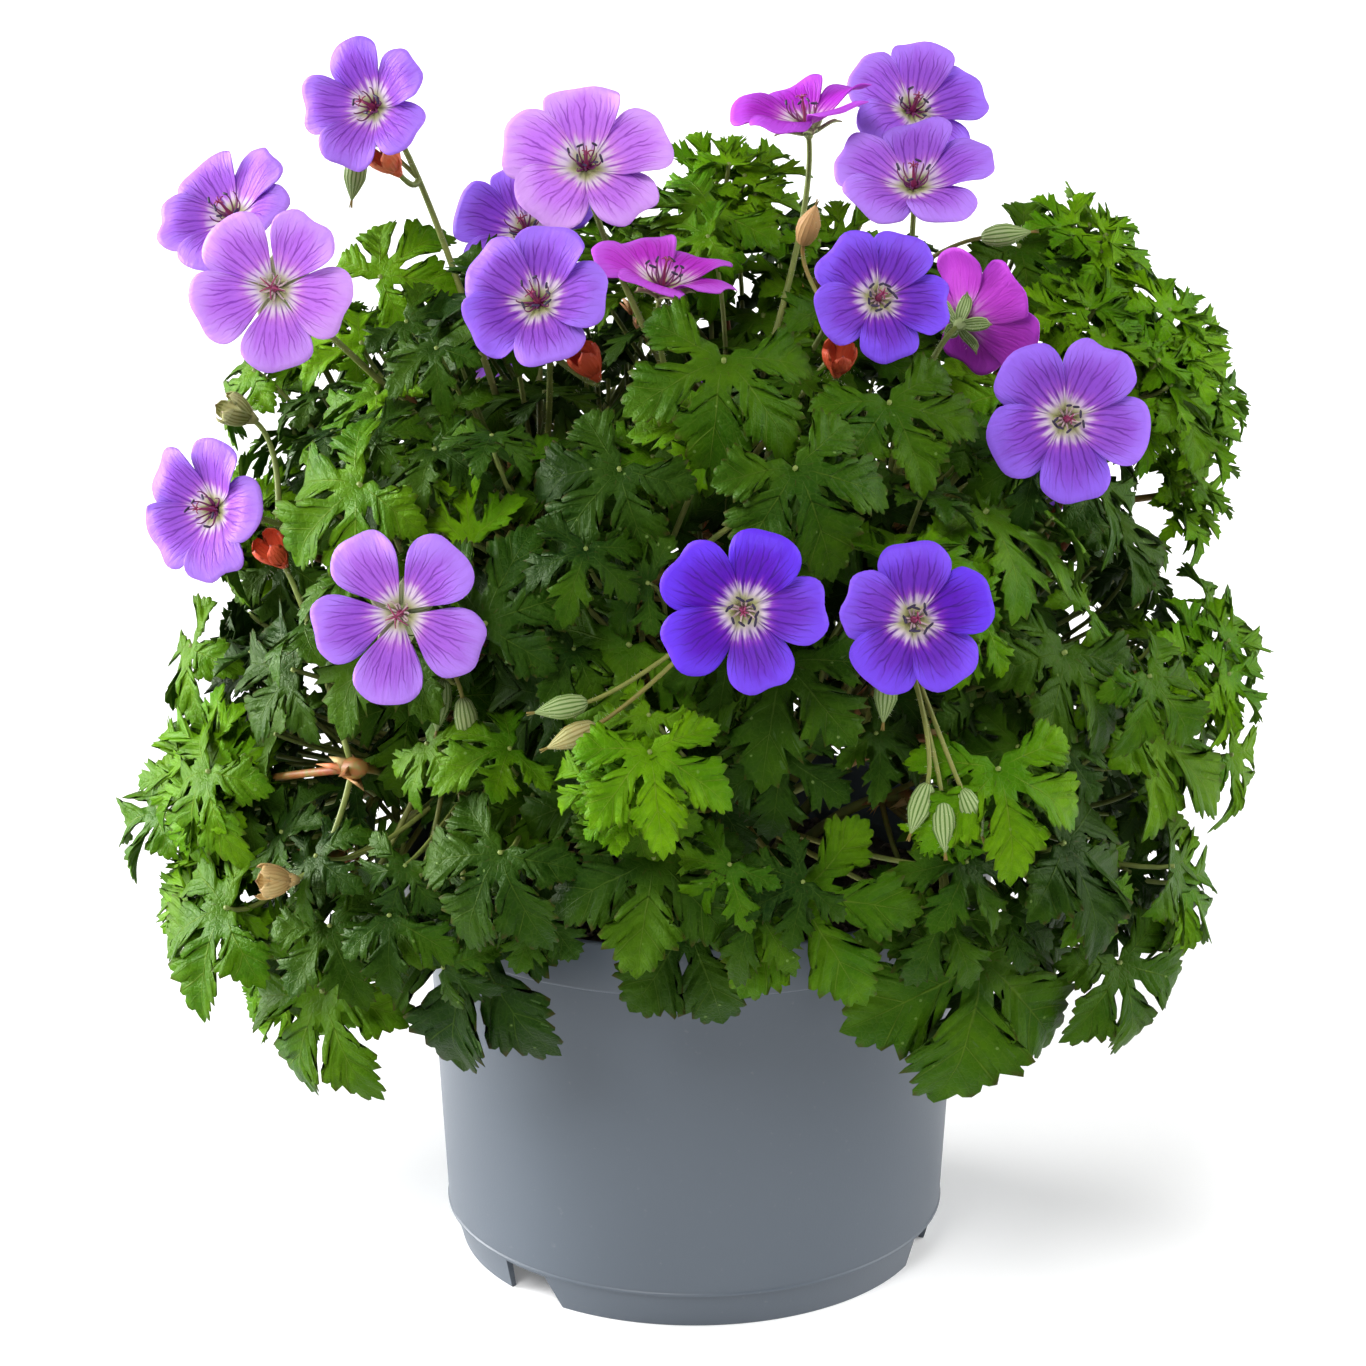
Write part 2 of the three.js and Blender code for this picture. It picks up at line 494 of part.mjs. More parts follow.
// Five pointed sepals behind the petals, meeting in a small pentagon on the stalk.
function calyxStar(bloom, growth) {
  const points = Array.from({ length: 2 * petal.count }, (_, i) => {
    const tip = i % 2 === 0;
    const reach = (tip ? calyx.reach : calyx.sinus) + growth;
    return polar((i * Math.PI) / petal.count, reach, (tip ? calyx.rise : 0) - calyx.below);
  });
  const sepals = Array.from({ length: petal.count }, (_, i) => {
    const at = 2 * i;
    return [at, (at + points.length - 1) % points.length, at + 1];
  });
  const middle = [[1, 9, 7], [1, 7, 5], [1, 5, 3]];
  return solid(blade(points, [...sepals, ...middle], calyx.thickness + 2 * growth), flowerFrame(bloom));
}

function flowerStalkPath(bloom, stem) {
  const out = directionAt(...bloom.face);
  const end = new THREE.Vector3(...bloom.at).addScaledVector(out, -calyx.below);
  const bend = end.clone().addScaledVector(out, -flowerStalk.straight);
  return new THREE.QuadraticBezierCurve3(stem.path.getPointAt(flowerStalk.from), bend, end);
}

// A bud and its short stalk, which branches from the stalk of its flower.
function budWithStalk(one, stalkOfFlower, growth) {
  const out = directionAt(...one.face);
  const centre = new THREE.Vector3(...one.at);
  const profile = bud.profile.map(([across, along]) => [across * (bud.radius + growth), along * bud.length]);
  const aim = new THREE.Matrix4().makeRotationFromQuaternion(new THREE.Quaternion().setFromUnitVectors(UP, out));
  const end = centre.clone().addScaledVector(out, bud.stalkSink - bud.length / 2);
  const bend = end.clone().addScaledVector(out, -bud.straight);
  const path = new THREE.QuadraticBezierCurve3(stalkOfFlower.getPointAt(bud.fork), bend, end);
  return [
    solid(turned(profile, bud.sides), aim.setPosition(centre)),
    tube(path, bud.stalkRadius + growth, bud.stalkSides, bud.stalkSteps),
  ];
}

// ---- Growing the plant --------------------------------------------------------------------------------------------
// Each leaf and flower belongs to the stem whose tip lies nearest its own direction from the crown's centre.
function growPlan() {
  const planned = planStems();
  const wayFromCentre = (point) => point.clone().sub(crown.centre).normalize();
  const stemFor = (point) =>
    nearest(planned, (stem) => wayFromCentre(stem.path.getPointAt(1)).angleTo(wayFromCentre(point)));
  const [low, high] = leaf.stalkFrom;
  planLeaves().forEach((one, i) => {
    const share = (i % leaf.stalkPlaces) / (leaf.stalkPlaces - 1);
    stemFor(one.at).leaves.push({ ...one, from: low + (high - low) * share });
  });
  blooms.forEach((bloom, i) => {
    const stem = stemFor(new THREE.Vector3(...bloom.at));
    const path = flowerStalkPath(bloom, stem);
    stem.flowers.push({ bloom, path, buds: buds.filter((one) => one.of === i) });
  });
  return planned;
}

function stemSkeleton(stem, growth) {
  const stalks = stem.leaves.map((one) => leafStalk(one, stem, leaf.stalkRadius + growth));
  const flowers = stem.flowers.flatMap(({ bloom, path, buds: own }) => [
    tube(path, flowerStalk.radius + growth, flowerStalk.sides, flowerStalk.steps),
    calyxStar(bloom, growth),
    ...own.flatMap((one) => budWithStalk(one, path, growth)),
  ]);
  return joined([tube(stem.path, stems.radius + growth, stems.sides, stems.steps), ...stalks, ...flowers]);
}

// Petals first, then the stems with their stalks, then the leaf blades: each keeps clear of all that came before.
const plan = growPlan();
const [petalGuard, bladeGuard] = [petal, leaf].map((piece) => piece.thickness + 2 * gap);
const flowerGuards = blooms.map((bloom) => joined([petals(bloom, petalGuard, gap), stamens(bloom, gap)]));
const stemGuards = plan.map((stem) => stemSkeleton(stem, gap));
const bladeGuards = plan.map((stem) => stem.leaves.map((one) => leafBlade(one, gap, bladeGuard)));
const potGuard = potBlock();

const petalPieces = blooms.map((bloom, i) => clearOf(petals(bloom, petal.thickness, 0), flowerGuards.slice(0, i)));
const leafyPieces = plan.map((stem, i) => {
  const skeleton = clearOf(stemSkeleton(stem, 0), [potGuard, ...flowerGuards, ...stemGuards.slice(0, i)]);
  const inTheWay = [potGuard, ...flowerGuards, ...stemGuards.toSpliced(i, 1), ...bladeGuards.slice(0, i).flat()];
  return joined([skeleton, ...stem.leaves.map((one) => clearOf(leafBlade(one, 0, leaf.thickness), inTheWay))]);
});

const geranium = new THREE.Group();
geranium.name = "hardy_geranium";
geranium.add(meshOf("pot", makePot(), colours.pot, 0.55));
geranium.add(meshOf("potting_mix", makeMix(plan.map((stem) => stem.root)), colours.mix, 0.95));
leafyPieces.forEach((piece, i) => geranium.add(meshOf(plan[i].name, piece, colours.green, 0.6)));
blooms.forEach((bloom, i) => {
  const name = `bloom_${String(i + 1).padStart(2, "0")}`;
  geranium.add(meshOf(`${name}_petals`, petalPieces[i], colours.petals, 0.6));
  geranium.add(meshOf(`${name}_stamens`, stamens(bloom, 0), colours.stamens, 0.6));
});

export default geranium;
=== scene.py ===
"""A hardy geranium in flower in its nursery pot: leaves, stems, flowers, mix and pot, with their finishes.

Lengths are in millimetres until a piece is made, and then in metres. -Y is the front and +Z is up.
"""

import math
from collections import namedtuple

import bmesh
import bpy
import numpy as np
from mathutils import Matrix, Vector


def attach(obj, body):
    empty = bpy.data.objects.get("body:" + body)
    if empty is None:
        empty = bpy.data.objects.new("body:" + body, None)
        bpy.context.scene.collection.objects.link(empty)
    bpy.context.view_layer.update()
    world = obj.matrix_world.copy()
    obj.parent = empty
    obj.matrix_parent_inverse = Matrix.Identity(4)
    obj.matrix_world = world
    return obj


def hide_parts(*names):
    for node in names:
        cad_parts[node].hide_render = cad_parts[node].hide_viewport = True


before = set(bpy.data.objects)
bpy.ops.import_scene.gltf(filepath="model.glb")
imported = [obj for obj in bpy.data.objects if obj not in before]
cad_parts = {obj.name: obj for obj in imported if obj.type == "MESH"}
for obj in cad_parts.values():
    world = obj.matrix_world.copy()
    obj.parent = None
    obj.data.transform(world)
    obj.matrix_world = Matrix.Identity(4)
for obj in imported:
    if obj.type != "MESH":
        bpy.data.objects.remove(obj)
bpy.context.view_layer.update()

MM = 0.001
UP = np.array([0.0, 0.0, 1.0])
DOWN = -UP

# ---- Camera, floor and light ---------------------------------------------------------------------
CAMERA_AIM = (-3.7, 0.0, 186.2)
CAMERA_DISTANCE = 1300.0
CAMERA_ELEVATION = 18.1
CAMERA_LENS = 108.6
# How far the camera sees, and half the width of the floor, in metres.
SIGHT = 400
FLOOR_HALF = 150.0
FLOOR_GLOW = 0.16
SURROUND = 0.20
# The side that each lamp shines from, how soft it is, in degrees, and how strong.
LAMPS = {
    "key_lamp": ((-400, -900, 1250), 26, 2.4),
    "left_lamp": ((-1300, 160, 720), 50, 2.6),
    "low_left_lamp": ((-1300, 460, 230), 36, 10.0),
    "right_lamp": ((1300, 160, 800), 50, 3.0),
}
LAMP_AIM = (0, 0, 200)


def aim(thing, place, target):
    """Puts a camera or light at a place, looking at a target."""
    away = (np.array(place) - np.array(target)).tolist()
    thing.location = (np.array(place) * MM).tolist()
    thing.rotation_euler = Vector(away).to_track_quat("Z", "Y").to_euler()


def make_camera():
    camera = bpy.data.objects.new("camera", bpy.data.cameras.new("camera"))
    camera.data.lens = CAMERA_LENS
    camera.data.clip_end = SIGHT
    tilt = math.radians(CAMERA_ELEVATION)
    place = np.array(CAMERA_AIM) + CAMERA_DISTANCE * np.array([0, -math.cos(tilt), math.sin(tilt)])
    aim(camera, place, CAMERA_AIM)
    bpy.context.scene.collection.objects.link(camera)
    bpy.context.scene.camera = camera
    return place


def make_lamp(name, side, softness, strength):
    """A wide, soft and distant lamp that shines from the side of a place."""
    lamp = bpy.data.objects.new(name, bpy.data.lights.new(name, "SUN"))
    lamp.data.angle = math.radians(softness)
    lamp.data.energy = strength
    aim(lamp, side, LAMP_AIM)
    bpy.context.scene.collection.objects.link(lamp)


def make_studio():
    """A pale floor and surround, a soft key lamp in front, and wide soft lamps at the left and the right."""
    ground = bpy.data.meshes.new("floor")
    corners = [(x * FLOOR_HALF, y * FLOOR_HALF, 0) for x, y in ((-1, -1), (1, -1), (1, 1), (-1, 1))]
    ground.from_pydata(corners, [], [(0, 1, 2, 3)])
    floor = bpy.data.objects.new("floor", ground)
    bpy.context.scene.collection.objects.link(floor)
    paper = bpy.data.materials.new("floor_paper")
    paper.use_nodes = True
    shader = paper.node_tree.nodes["Principled BSDF"]
    shader.inputs["Base Color"].default_value = (0.9, 0.9, 0.9, 1)
    shader.inputs["Roughness"].default_value = 0.9
    shader.inputs["Emission Color"].default_value = (1, 1, 1, 1)
    shader.inputs["Emission Strength"].default_value = FLOOR_GLOW
    ground.materials.append(paper)
    world = bpy.data.worlds.new("surround")
    bpy.context.scene.world = world
    world.use_nodes = True
    world.node_tree.nodes["Background"].inputs["Color"].default_value = (1, 1, 1, 1)
    world.node_tree.nodes["Background"].inputs["Strength"].default_value = SURROUND
    for name, lamp in LAMPS.items():
        make_lamp(name, *lamp)
    view = bpy.context.scene.view_settings
    view.view_transform = "Standard"
    view.look = "None"


camera_place = make_camera()
make_studio()


# ---- Material nodes ------------------------------------------------------------------------------
class Value:
    """A socket of a finish, so that sums on it are written as sums."""

    def __init__(self, finish, socket):
        self.finish = finish
        self.socket = socket

    def __add__(self, other):
        return self.finish.maths("ADD", self, other)

    def __sub__(self, other):
        return self.finish.maths("SUBTRACT", self, other)

    def __rsub__(self, other):
        return self.finish.maths("SUBTRACT", other, self)

    def __mul__(self, other):
        return self.finish.maths("MULTIPLY", self, other)

    def __truediv__(self, other):
        return self.finish.maths("DIVIDE", self, other)

    __radd__ = __add__
    __rmul__ = __mul__

    def size(self):
        return self.finish.maths("ABSOLUTE", self)

    def to_nearest(self):
        """How far the value is from the nearest whole number."""
        return self.finish.maths("PINGPONG", self, 0.5)

    def ramp(self, low, high):
        """0 below low and 1 above high, with a smooth step between them."""
        inputs = {"Value": self, "From Min": low, "From Max": high}
        return self.finish.node("ShaderNodeMapRange", {"interpolation_type": "SMOOTHSTEP"}, inputs)

    def fall(self, low, high):
        """1 below low and 0 above high."""
        return 1 - self.ramp(low, high)


class Finish:
    """A material made of nodes."""

    def __init__(self, name):
        self.material = bpy.data.materials.new(name)
        self.material.use_nodes = True
        self.tree = self.material.node_tree
        self.shader = self.tree.nodes["Principled BSDF"]
        self.output = self.tree.nodes["Material Output"]

    def node(self, kind, settings=None, inputs=None, output=0):
        made = self.tree.nodes.new(kind)
        for name, value in (settings or {}).items():
            setattr(made, name, value)
        for key, value in (inputs or {}).items():
            self.feed(made.inputs[key], value)
        return Value(self, made.outputs[output])

    def feed(self, socket, value):
        if isinstance(value, Value):
            self.tree.links.new(value.socket, socket)
        else:
            socket.default_value = (*value, 1) if socket.type == "RGBA" else value

    def set(self, **inputs):
        """Sets the main shader's sockets, named with _ for a space."""
        for name, value in inputs.items():
            self.feed(self.shader.inputs[name.replace("_", " ")], value)

    def maths(self, operation, *values):
        return self.node("ShaderNodeMath", {"operation": operation}, dict(enumerate(values)))

    def mixed(self, share, first, second):
        """A colour between two others. Socket 0 of the node is the share, and 6 and 7 are the colours."""
        return self.node("ShaderNodeMix", {"data_type": "RGBA"}, {0: share, 6: first, 7: second}, 2)

    def place(self):
        return self.node("ShaderNodeTexCoord", output="Object")

    def noise(self, scale, detail=2.0, vector=None):
        inputs = {"Scale": scale, "Detail": detail, "Vector": vector or self.place()}
        return self.node("ShaderNodeTexNoise", {}, inputs)

    def cells(self, scale, feature="F1"):
        inputs = {"Scale": scale, "Vector": self.place()}
        return self.node("ShaderNodeTexVoronoi", {"feature": feature}, inputs, "Distance")

    def streaks(self, along, across, other):
        """Noise in coordinates of a blade, and in a third that sets one blade apart from the next."""
        vector = self.node("ShaderNodeCombineXYZ", {}, {"X": along, "Y": across, "Z": other})
        return self.noise(1.0, 3, vector)

    def drawn(self):
        """The two coordinates along and across a blade."""
        both = self.node("ShaderNodeUVMap", {"uv_map": "blade"})
        return [self.node("ShaderNodeSeparateXYZ", {}, {0: both}, part) for part in (0, 1)]

    def reading(self, name):
        """A number that the mesh carries at each point."""
        return self.node("ShaderNodeAttribute", {"attribute_name": name}, output="Fac")

    def bump(self, height, strength, distance):
        inputs = {"Height": height, "Strength": strength, "Distance": distance}
        self.set(Normal=self.node("ShaderNodeBump", {}, inputs))

    def let_light_through(self, colour, share):
        """Light also comes through from behind, as in a thin leaf."""
        front = Value(self, self.shader.outputs[0])
        through = self.node("ShaderNodeBsdfTranslucent", {}, {"Color": colour})
        both = self.node("ShaderNodeMixShader", {}, {0: share, 1: front, 2: through})
        self.feed(self.output.inputs["Surface"], both)


def leaf_green():
    """Leaf: blackish to yellow-green, with thin pale veins in a fine net, a few pale dots and brown tips. Its
    tone from the mesh is partly painted shade, and painted shade darkens bands beside the side veins.
    """
    finish = Finish("leaf_green")
    station, side = finish.drawn()
    # The tone is partly the leaf's own colour and partly painted shade: lower for leaves low down and deep in
    # the crown.
    tone = finish.reading("tone")
    under = finish.reading("under")
    patches = finish.noise(42, 3).ramp(0.30, 0.70)
    blisters = finish.noise(330, 2).ramp(0.32, 0.68)
    dark = finish.mixed(patches, (0.002, 0.014, 0.002), (0.008, 0.028, 0.001))
    fresh = finish.mixed(patches, (0.070, 0.230, 0.001), (0.175, 0.385, 0.002))
    colour = finish.mixed(tone, dark, fresh)
    dull = finish.mixed(tone, (0.006, 0.022, 0.001), (0.042, 0.140, 0.001))
    colour = finish.mixed(blisters * 0.30, colour, dull)
    pale = finish.mixed(tone, (0.034, 0.070, 0.018), (0.110, 0.190, 0.032))
    colour = finish.mixed(under * 0.7, colour, pale)
    near = station.to_nearest()
    lead = 0.60 + finish.maths("COSINE", station * math.pi) * 0.40
    midrib = side.fall(0.006, 0.045) * station.ramp(0.0, 0.45)
    branch = near.fall(0.008, 0.048) * side.fall(0.70, 0.98) * station.ramp(0.5, 0.8) * lead
    veins = finish.maths("MAXIMUM", midrib, branch)
    # Painted shade: bands beside the side veins, in their grooves, are darkened.
    beside = near.fall(0.03, 0.18) * station.ramp(0.5, 0.8) * (1 - branch)
    painted_groove_shade = finish.mixed(tone, (0.003, 0.010, 0.002), (0.035, 0.095, 0.001))
    colour = finish.mixed(beside * 0.18, colour, painted_groove_shade)
    vein_colour = finish.mixed(tone, (0.042, 0.085, 0.010), (0.250, 0.380, 0.030))
    colour = finish.mixed(veins * 0.60, colour, vein_colour)
    net = finish.cells(560, "DISTANCE_TO_EDGE")
    colour = finish.mixed(net.fall(0.0, 0.08) * 0.20, colour, vein_colour)
    dots = finish.cells(150).fall(0.05, 0.09)
    colour = finish.mixed(dots * 0.35, colour, (0.24, 0.36, 0.10))
    tips = side.ramp(0.86, 1.0) * near.fall(0.05, 0.16) * (1 - under)
    colour = finish.mixed(tips * 0.6, colour, (0.050, 0.022, 0.010))
    finish.set(Base_Color=colour, Roughness=0.46 + under * 0.2 + patches * 0.1, Specular_IOR_Level=0.15,
               Specular_Tint=(0.60, 1.00, 0.25))
    groove = (1 - veins) * (1 - under) + veins * under
    finish.bump(groove + blisters * 0.3 + net.ramp(0.0, 0.2) * 0.2, 0.55, 0.0008)
    finish.let_light_through((0.115, 0.300, 0.002), 0.05 + tone * 0.24)
    return finish.material


def stalk_green():
    """Stem: pale green, flushed with red where the mesh says so, with fine lengthwise streaks."""
    finish = Finish("stalk_green")
    red = finish.reading("tone")
    streaks = finish.noise(420, 3)
    colour = finish.mixed(streaks, (0.090, 0.150, 0.020), (0.230, 0.300, 0.070))
    colour = finish.mixed(red * streaks.ramp(0.1, 0.6), colour, (0.270, 0.055, 0.014))
    finish.set(Base_Color=colour, Roughness=0.52, Specular_IOR_Level=0.3)
    finish.bump(streaks, 0.3, 0.0003)
    finish.let_light_through((0.16, 0.24, 0.03), 0.12)
    return finish.material


def sepal_green():
    """Calyx and bud: green ribs between pale stripes, flushed with red where the mesh says so."""
    finish = Finish("sepal_green")
    along, across = finish.drawn()
    red = finish.reading("tone")
    ribs = (across * 2.5).to_nearest().fall(0.10, 0.30)
    colour = finish.mixed(ribs, (0.330, 0.420, 0.170), (0.085, 0.180, 0.026))
    colour = finish.mixed(finish.reading("under") * 0.6 + 0.4, (0.480, 0.560, 0.260), colour)
    flush = red * (0.75 + finish.noise(300) * 0.5)
    colour = finish.mixed(flush.ramp(0.10, 0.45), colour, (0.560, 0.330, 0.130))
    colour = finish.mixed(flush.ramp(0.45, 0.95), colour, (0.640, 0.080, 0.030))
    colour = finish.mixed(along.ramp(0.85, 1.0) * 0.7, colour, (0.150, 0.040, 0.060))
    finish.set(Base_Color=colour, Roughness=0.5, Specular_IOR_Level=0.3)
    finish.bump(ribs, 0.5, 0.0004)
    finish.let_light_through((0.32, 0.26, 0.05), 0.18)
    return finish.material


VIOLET_PETAL = {
    "margin": ((0.125, 0.036, 0.770), (0.740, 0.390, 0.900)),
    "middle": ((0.090, 0.004, 0.430), (0.600, 0.200, 0.840)),
    "glow": ((0.250, 0.025, 0.500), (0.740, 0.260, 0.820)),
    "veins": ((0.030, 0.003, 0.130), (0.200, 0.020, 0.340)),
    "back": ((0.330, 0.110, 0.640), (0.620, 0.260, 0.820)),
    "through": (0.380, 0.120, 0.780),
}
MAGENTA_PETAL = {
    "margin": ((0.400, 0.050, 0.640), (0.540, 0.110, 0.700)),
    "middle": ((0.340, 0.015, 0.500), (0.480, 0.035, 0.540)),
    "glow": ((0.560, 0.100, 0.600), (0.700, 0.200, 0.680)),
    "veins": ((0.180, 0.006, 0.260), (0.260, 0.010, 0.260)),
    "back": ((0.460, 0.025, 0.560), (0.640, 0.090, 0.660)),
    "through": (0.560, 0.040, 0.640),
}


def petal_finish(name, shades):
    """Petal: greenish white heart, magenta glow, violet margin, and fine dark veins that fork and run out.

    Each shade is a pair of colours, and the tone in the mesh lies between the two.
    """
    finish = Finish(name)
    along, across = finish.drawn()
    tone = finish.reading("tone")
    under = finish.reading("under")
    margin, middle, glow, dark, back = [
        finish.mixed(tone, *shades[part]) for part in ("margin", "middle", "glow", "veins", "back")]
    cloud = finish.noise(95, 3)
    wrinkles = finish.streaks(along * 3.0, across * 11.0, tone * 60)
    heart = finish.mixed(along.ramp(0.05, 0.20), (0.480, 0.500, 0.180), (0.860, 0.740, 0.800))
    wander = (finish.noise(170, 3) - 0.5) * along * 0.30
    lead = ((across + wander) * 3.0).to_nearest() / 3.0
    second = ((across + wander + 0.167) * 3.0).to_nearest() / 3.0
    reach = along + (cloud - 0.5) * 0.24 + (wrinkles - 0.5) * 0.34 - lead * 0.30 - tone * 0.05
    colour = finish.mixed(reach.ramp(0.08, 0.27), heart, glow)
    colour = finish.mixed(reach.ramp(0.18, 0.38), colour, middle)
    colour = finish.mixed((reach + across.size() * 0.25).ramp(0.52, 0.98), colour, margin)
    colour = finish.mixed((wrinkles - 0.5).size() * 0.5, colour, dark)
    fork = finish.maths("MAXIMUM", along - 0.42, 0.0) * 0.22
    broken = finish.noise(260, 2).ramp(0.30, 0.55)
    line = ((lead - fork).size() * along).fall(0.004, 0.015) * along.ramp(0.10, 0.20) * along.fall(0.60, 0.95)
    fine = ((second - fork * 0.5).size() * along).fall(0.002, 0.010) * along.ramp(0.22, 0.36)
    fine = fine * along.fall(0.50, 0.82) * broken * 0.6
    veins = finish.maths("MAXIMUM", line * (0.55 + broken * 0.45), fine)
    colour = finish.mixed(veins * 0.70, colour, dark)
    colour = finish.mixed(under * 0.7, colour, back)
    finish.set(Base_Color=colour, Roughness=0.45 + cloud * 0.1, Specular_IOR_Level=0.16)
    finish.bump((1 - veins) * 0.4 + wrinkles * 1.2 + finish.noise(900, 2) * 0.3, 0.5, 0.0007)
    finish.let_light_through(shades["through"], 0.25)
    return finish.material


def plain_finish(name, dark, light, scale, roughness, through=None):
    """A finish with one mottled colour."""
    finish = Finish(name)
    mottle = finish.noise(scale, 3)
    finish.set(Base_Color=finish.mixed(mottle, dark, light), Roughness=roughness)
    finish.bump(mottle, 0.3, 0.0003)
    if through:
        finish.let_light_through(*through)
    return finish.material


def pot_plastic():
    """Satin grey plastic: faint flow marks from moulding, fine grain, and a few specks of dust."""
    finish = Finish("pot_plastic")
    flow = finish.noise(9, 3)
    grain = finish.noise(1500, 2)
    colour = finish.mixed(flow, (0.070, 0.086, 0.108), (0.084, 0.101, 0.124))
    dust = finish.noise(420, 4).ramp(0.66, 0.82)
    colour = finish.mixed(dust * 0.25, colour, (0.22, 0.23, 0.24))
    finish.set(Base_Color=colour, Roughness=0.38 + flow * 0.10 + dust * 0.2, Specular_IOR_Level=0.38)
    finish.bump(grain + flow * 0.4, 0.10, 0.0003)
    return finish.material


def mix_crumbs():
    """Potting mix: dark peat and grey-brown bits, each bit with its own tone."""
    finish = Finish("mix_crumbs")
    tone = finish.reading("tone")
    fibre = finish.noise(700, 4)
    colour = finish.mixed(tone, (0.030, 0.018, 0.013), (0.270, 0.200, 0.180))
    colour = finish.mixed(fibre.ramp(0.35, 0.7) * 0.5, colour, (0.075, 0.048, 0.038))
    finish.set(Base_Color=colour, Roughness=0.92)
    finish.bump(fibre, 0.7, 0.0006)
    return finish.material


# ---- Small maths ---------------------------------------------------------------------------------
GOLDEN_TURN = 137.508
STATES = 2**32
# The first number of each row of draws.
SEEDS = {"leaves": 7, "tints": 11, "edge": 27, "petals": 100, "stamens": 300, "stems": 500, "tufts": 700,
         "mix": 900}


def drawer(seed):
    """The same draws every time: a linear congruential generator in whole numbers."""
    state = seed

    def draw(low, high):
        nonlocal state
        state = (state * 1664525 + 1013904223) % STATES
        return low + (high - low) * state / STATES

    return draw


def unit(vector):
    return vector / np.linalg.norm(vector)


def direction_at(azimuth, elevation):
    turn, lift = math.radians(azimuth), math.radians(elevation)
    return np.array([math.sin(turn) * math.cos(lift), -math.cos(turn) * math.cos(lift), math.sin(lift)])


def turned_about(vector, axis, angle):
    """A vector turned about a unit axis, in degrees."""
    cosine, sine = math.cos(math.radians(angle)), math.sin(math.radians(angle))
    return vector * cosine + np.cross(axis, vector) * sine + axis * np.dot(axis, vector) * (1 - cosine)


def blade_frame(at, face, hang, turn):
    """Right, along and out of a blade whose middle hangs that way, turned by an angle, and its place."""
    tip = turned_about(unit(hang - face * np.dot(hang, face)), face, turn)
    return np.stack([np.cross(tip, face), tip, face]), np.array(at, float)


def placed(points, spot):
    axes, at = spot
    return points @ axes + at


def turn_flat(angle):
    """A turn about the third axis, by an angle in radians, that rows of points are multiplied by."""
    cosine, sine = math.cos(angle), math.sin(angle)
    return np.array([[cosine, sine, 0], [-sine, cosine, 0], [0, 0, 1]])


def angles_round(count):
    return np.linspace(0, 2 * math.pi, count, endpoint=False)


def bend(start, middle, end, count):
    """Points along a curve that leaves start towards middle and reaches end from it."""
    t = np.linspace(0, 1, count)[:, None]
    return (1 - t) ** 2 * start + 2 * t * (1 - t) * middle + t**2 * end


def through_points(points, count=201):
    """A smooth line through points, at places evenly spaced along it (a centripetal Catmull-Rom curve)."""
    points = [2 * points[0] - points[1], *points, 2 * points[-1] - points[-2]]
    line = []
    for i in range(1, len(points) - 2):
        p0, p1, p2, p3 = points[i - 1:i + 3]
        d0, d1, d2 = (max(np.sum((b - a) ** 2) ** 0.25, 1e-4) for a, b in ((p0, p1), (p1, p2), (p2, p3)))
        t1 = ((p1 - p0) / d0 - (p2 - p0) / (d0 + d1) + (p2 - p1) / d1) * d1
        t2 = ((p2 - p1) / d1 - (p3 - p1) / (d1 + d2) + (p3 - p2) / d2) * d1
        t = np.linspace(0, 1, 80)[:, None]
        line.append(p1 + t1 * t + (3 * (p2 - p1) - 2 * t1 - t2) * t**2 + (2 * (p1 - p2) + t1 + t2) * t**3)
    line = np.concatenate(line)
    lengths = np.concatenate([[0], np.cumsum(np.linalg.norm(np.diff(line, axis=0), axis=1))])
    even = np.linspace(0, lengths[-1], count)
    return np.stack([np.interp(even, lengths, line[:, k]) for k in range(3)], axis=1)


def point_at(line, share):
    place = share * (len(line) - 1)
    low = min(int(place), len(line) - 2)
    return line[low] + (line[low + 1] - line[low]) * (place - low)


def smooth(values, low, high):
    t = np.clip((values - low) / (high - low), 0, 1)
    return t * t * (3 - 2 * t)


# ---- Gathering a mesh ----------------------------------------------------------------------------
class Piece:
    """Points and faces of one piece, with finishes, blade coordinates and the numbers that finishes read."""

    def __init__(self, name, finishes):
        self.name = name
        self.finishes = finishes
        self.points, self.blade, self.tone, self.under, self.faces, self.finish = [], [], [], [], [], []
        self.count = 0

    def add(self, points, faces, finish, blade=None, tone=0.0, under=0.0):
        """Adds points, faces as rows of point numbers, and the name of their finish."""
        total = len(points)
        self.points.append(points)
        self.blade.append(np.zeros((total, 2)) if blade is None else blade)
        self.tone.append(np.broadcast_to(tone, total))
        self.under.append(np.broadcast_to(under, total))
        for rows in faces if isinstance(faces, list) else [faces]:
            if len(rows):
                self.faces.append(np.asarray(rows) + self.count)
                self.finish.append(np.full(len(rows), list(self.finishes).index(finish)))
        self.count += total

    def make(self, *nodes, slot):
        """Makes the object, in metres, on the body, in place of its nodes."""
        mesh = bpy.data.meshes.new(self.name)
        rows = [row for block in self.faces for row in block.tolist()]
        mesh.from_pydata((np.concatenate(self.points) * MM).tolist(), [], rows)
        for finish in self.finishes.values():
            mesh.materials.append(finish)
        mesh.polygons.foreach_set("material_index", np.concatenate(self.finish).astype(np.int32))
        corners = np.zeros(len(mesh.loops), np.int32)
        mesh.loops.foreach_get("vertex_index", corners)
        layer = mesh.uv_layers.new(name="blade")
        layer.uv.foreach_set("vector", np.concatenate(self.blade)[corners].astype(np.float32).ravel())
        for name, values in (("tone", self.tone), ("under", self.under)):
            numbers = mesh.attributes.new(name, "FLOAT", "POINT")
            numbers.data.foreach_set("value", np.concatenate(values).astype(np.float32))
        mesh.polygons.foreach_set("use_smooth", np.ones(len(mesh.polygons), bool))
        mesh.update()
        made = bpy.data.objects.new(self.name, mesh)
        bpy.context.scene.collection.objects.link(made)
        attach(made, "root")
        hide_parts(*nodes)


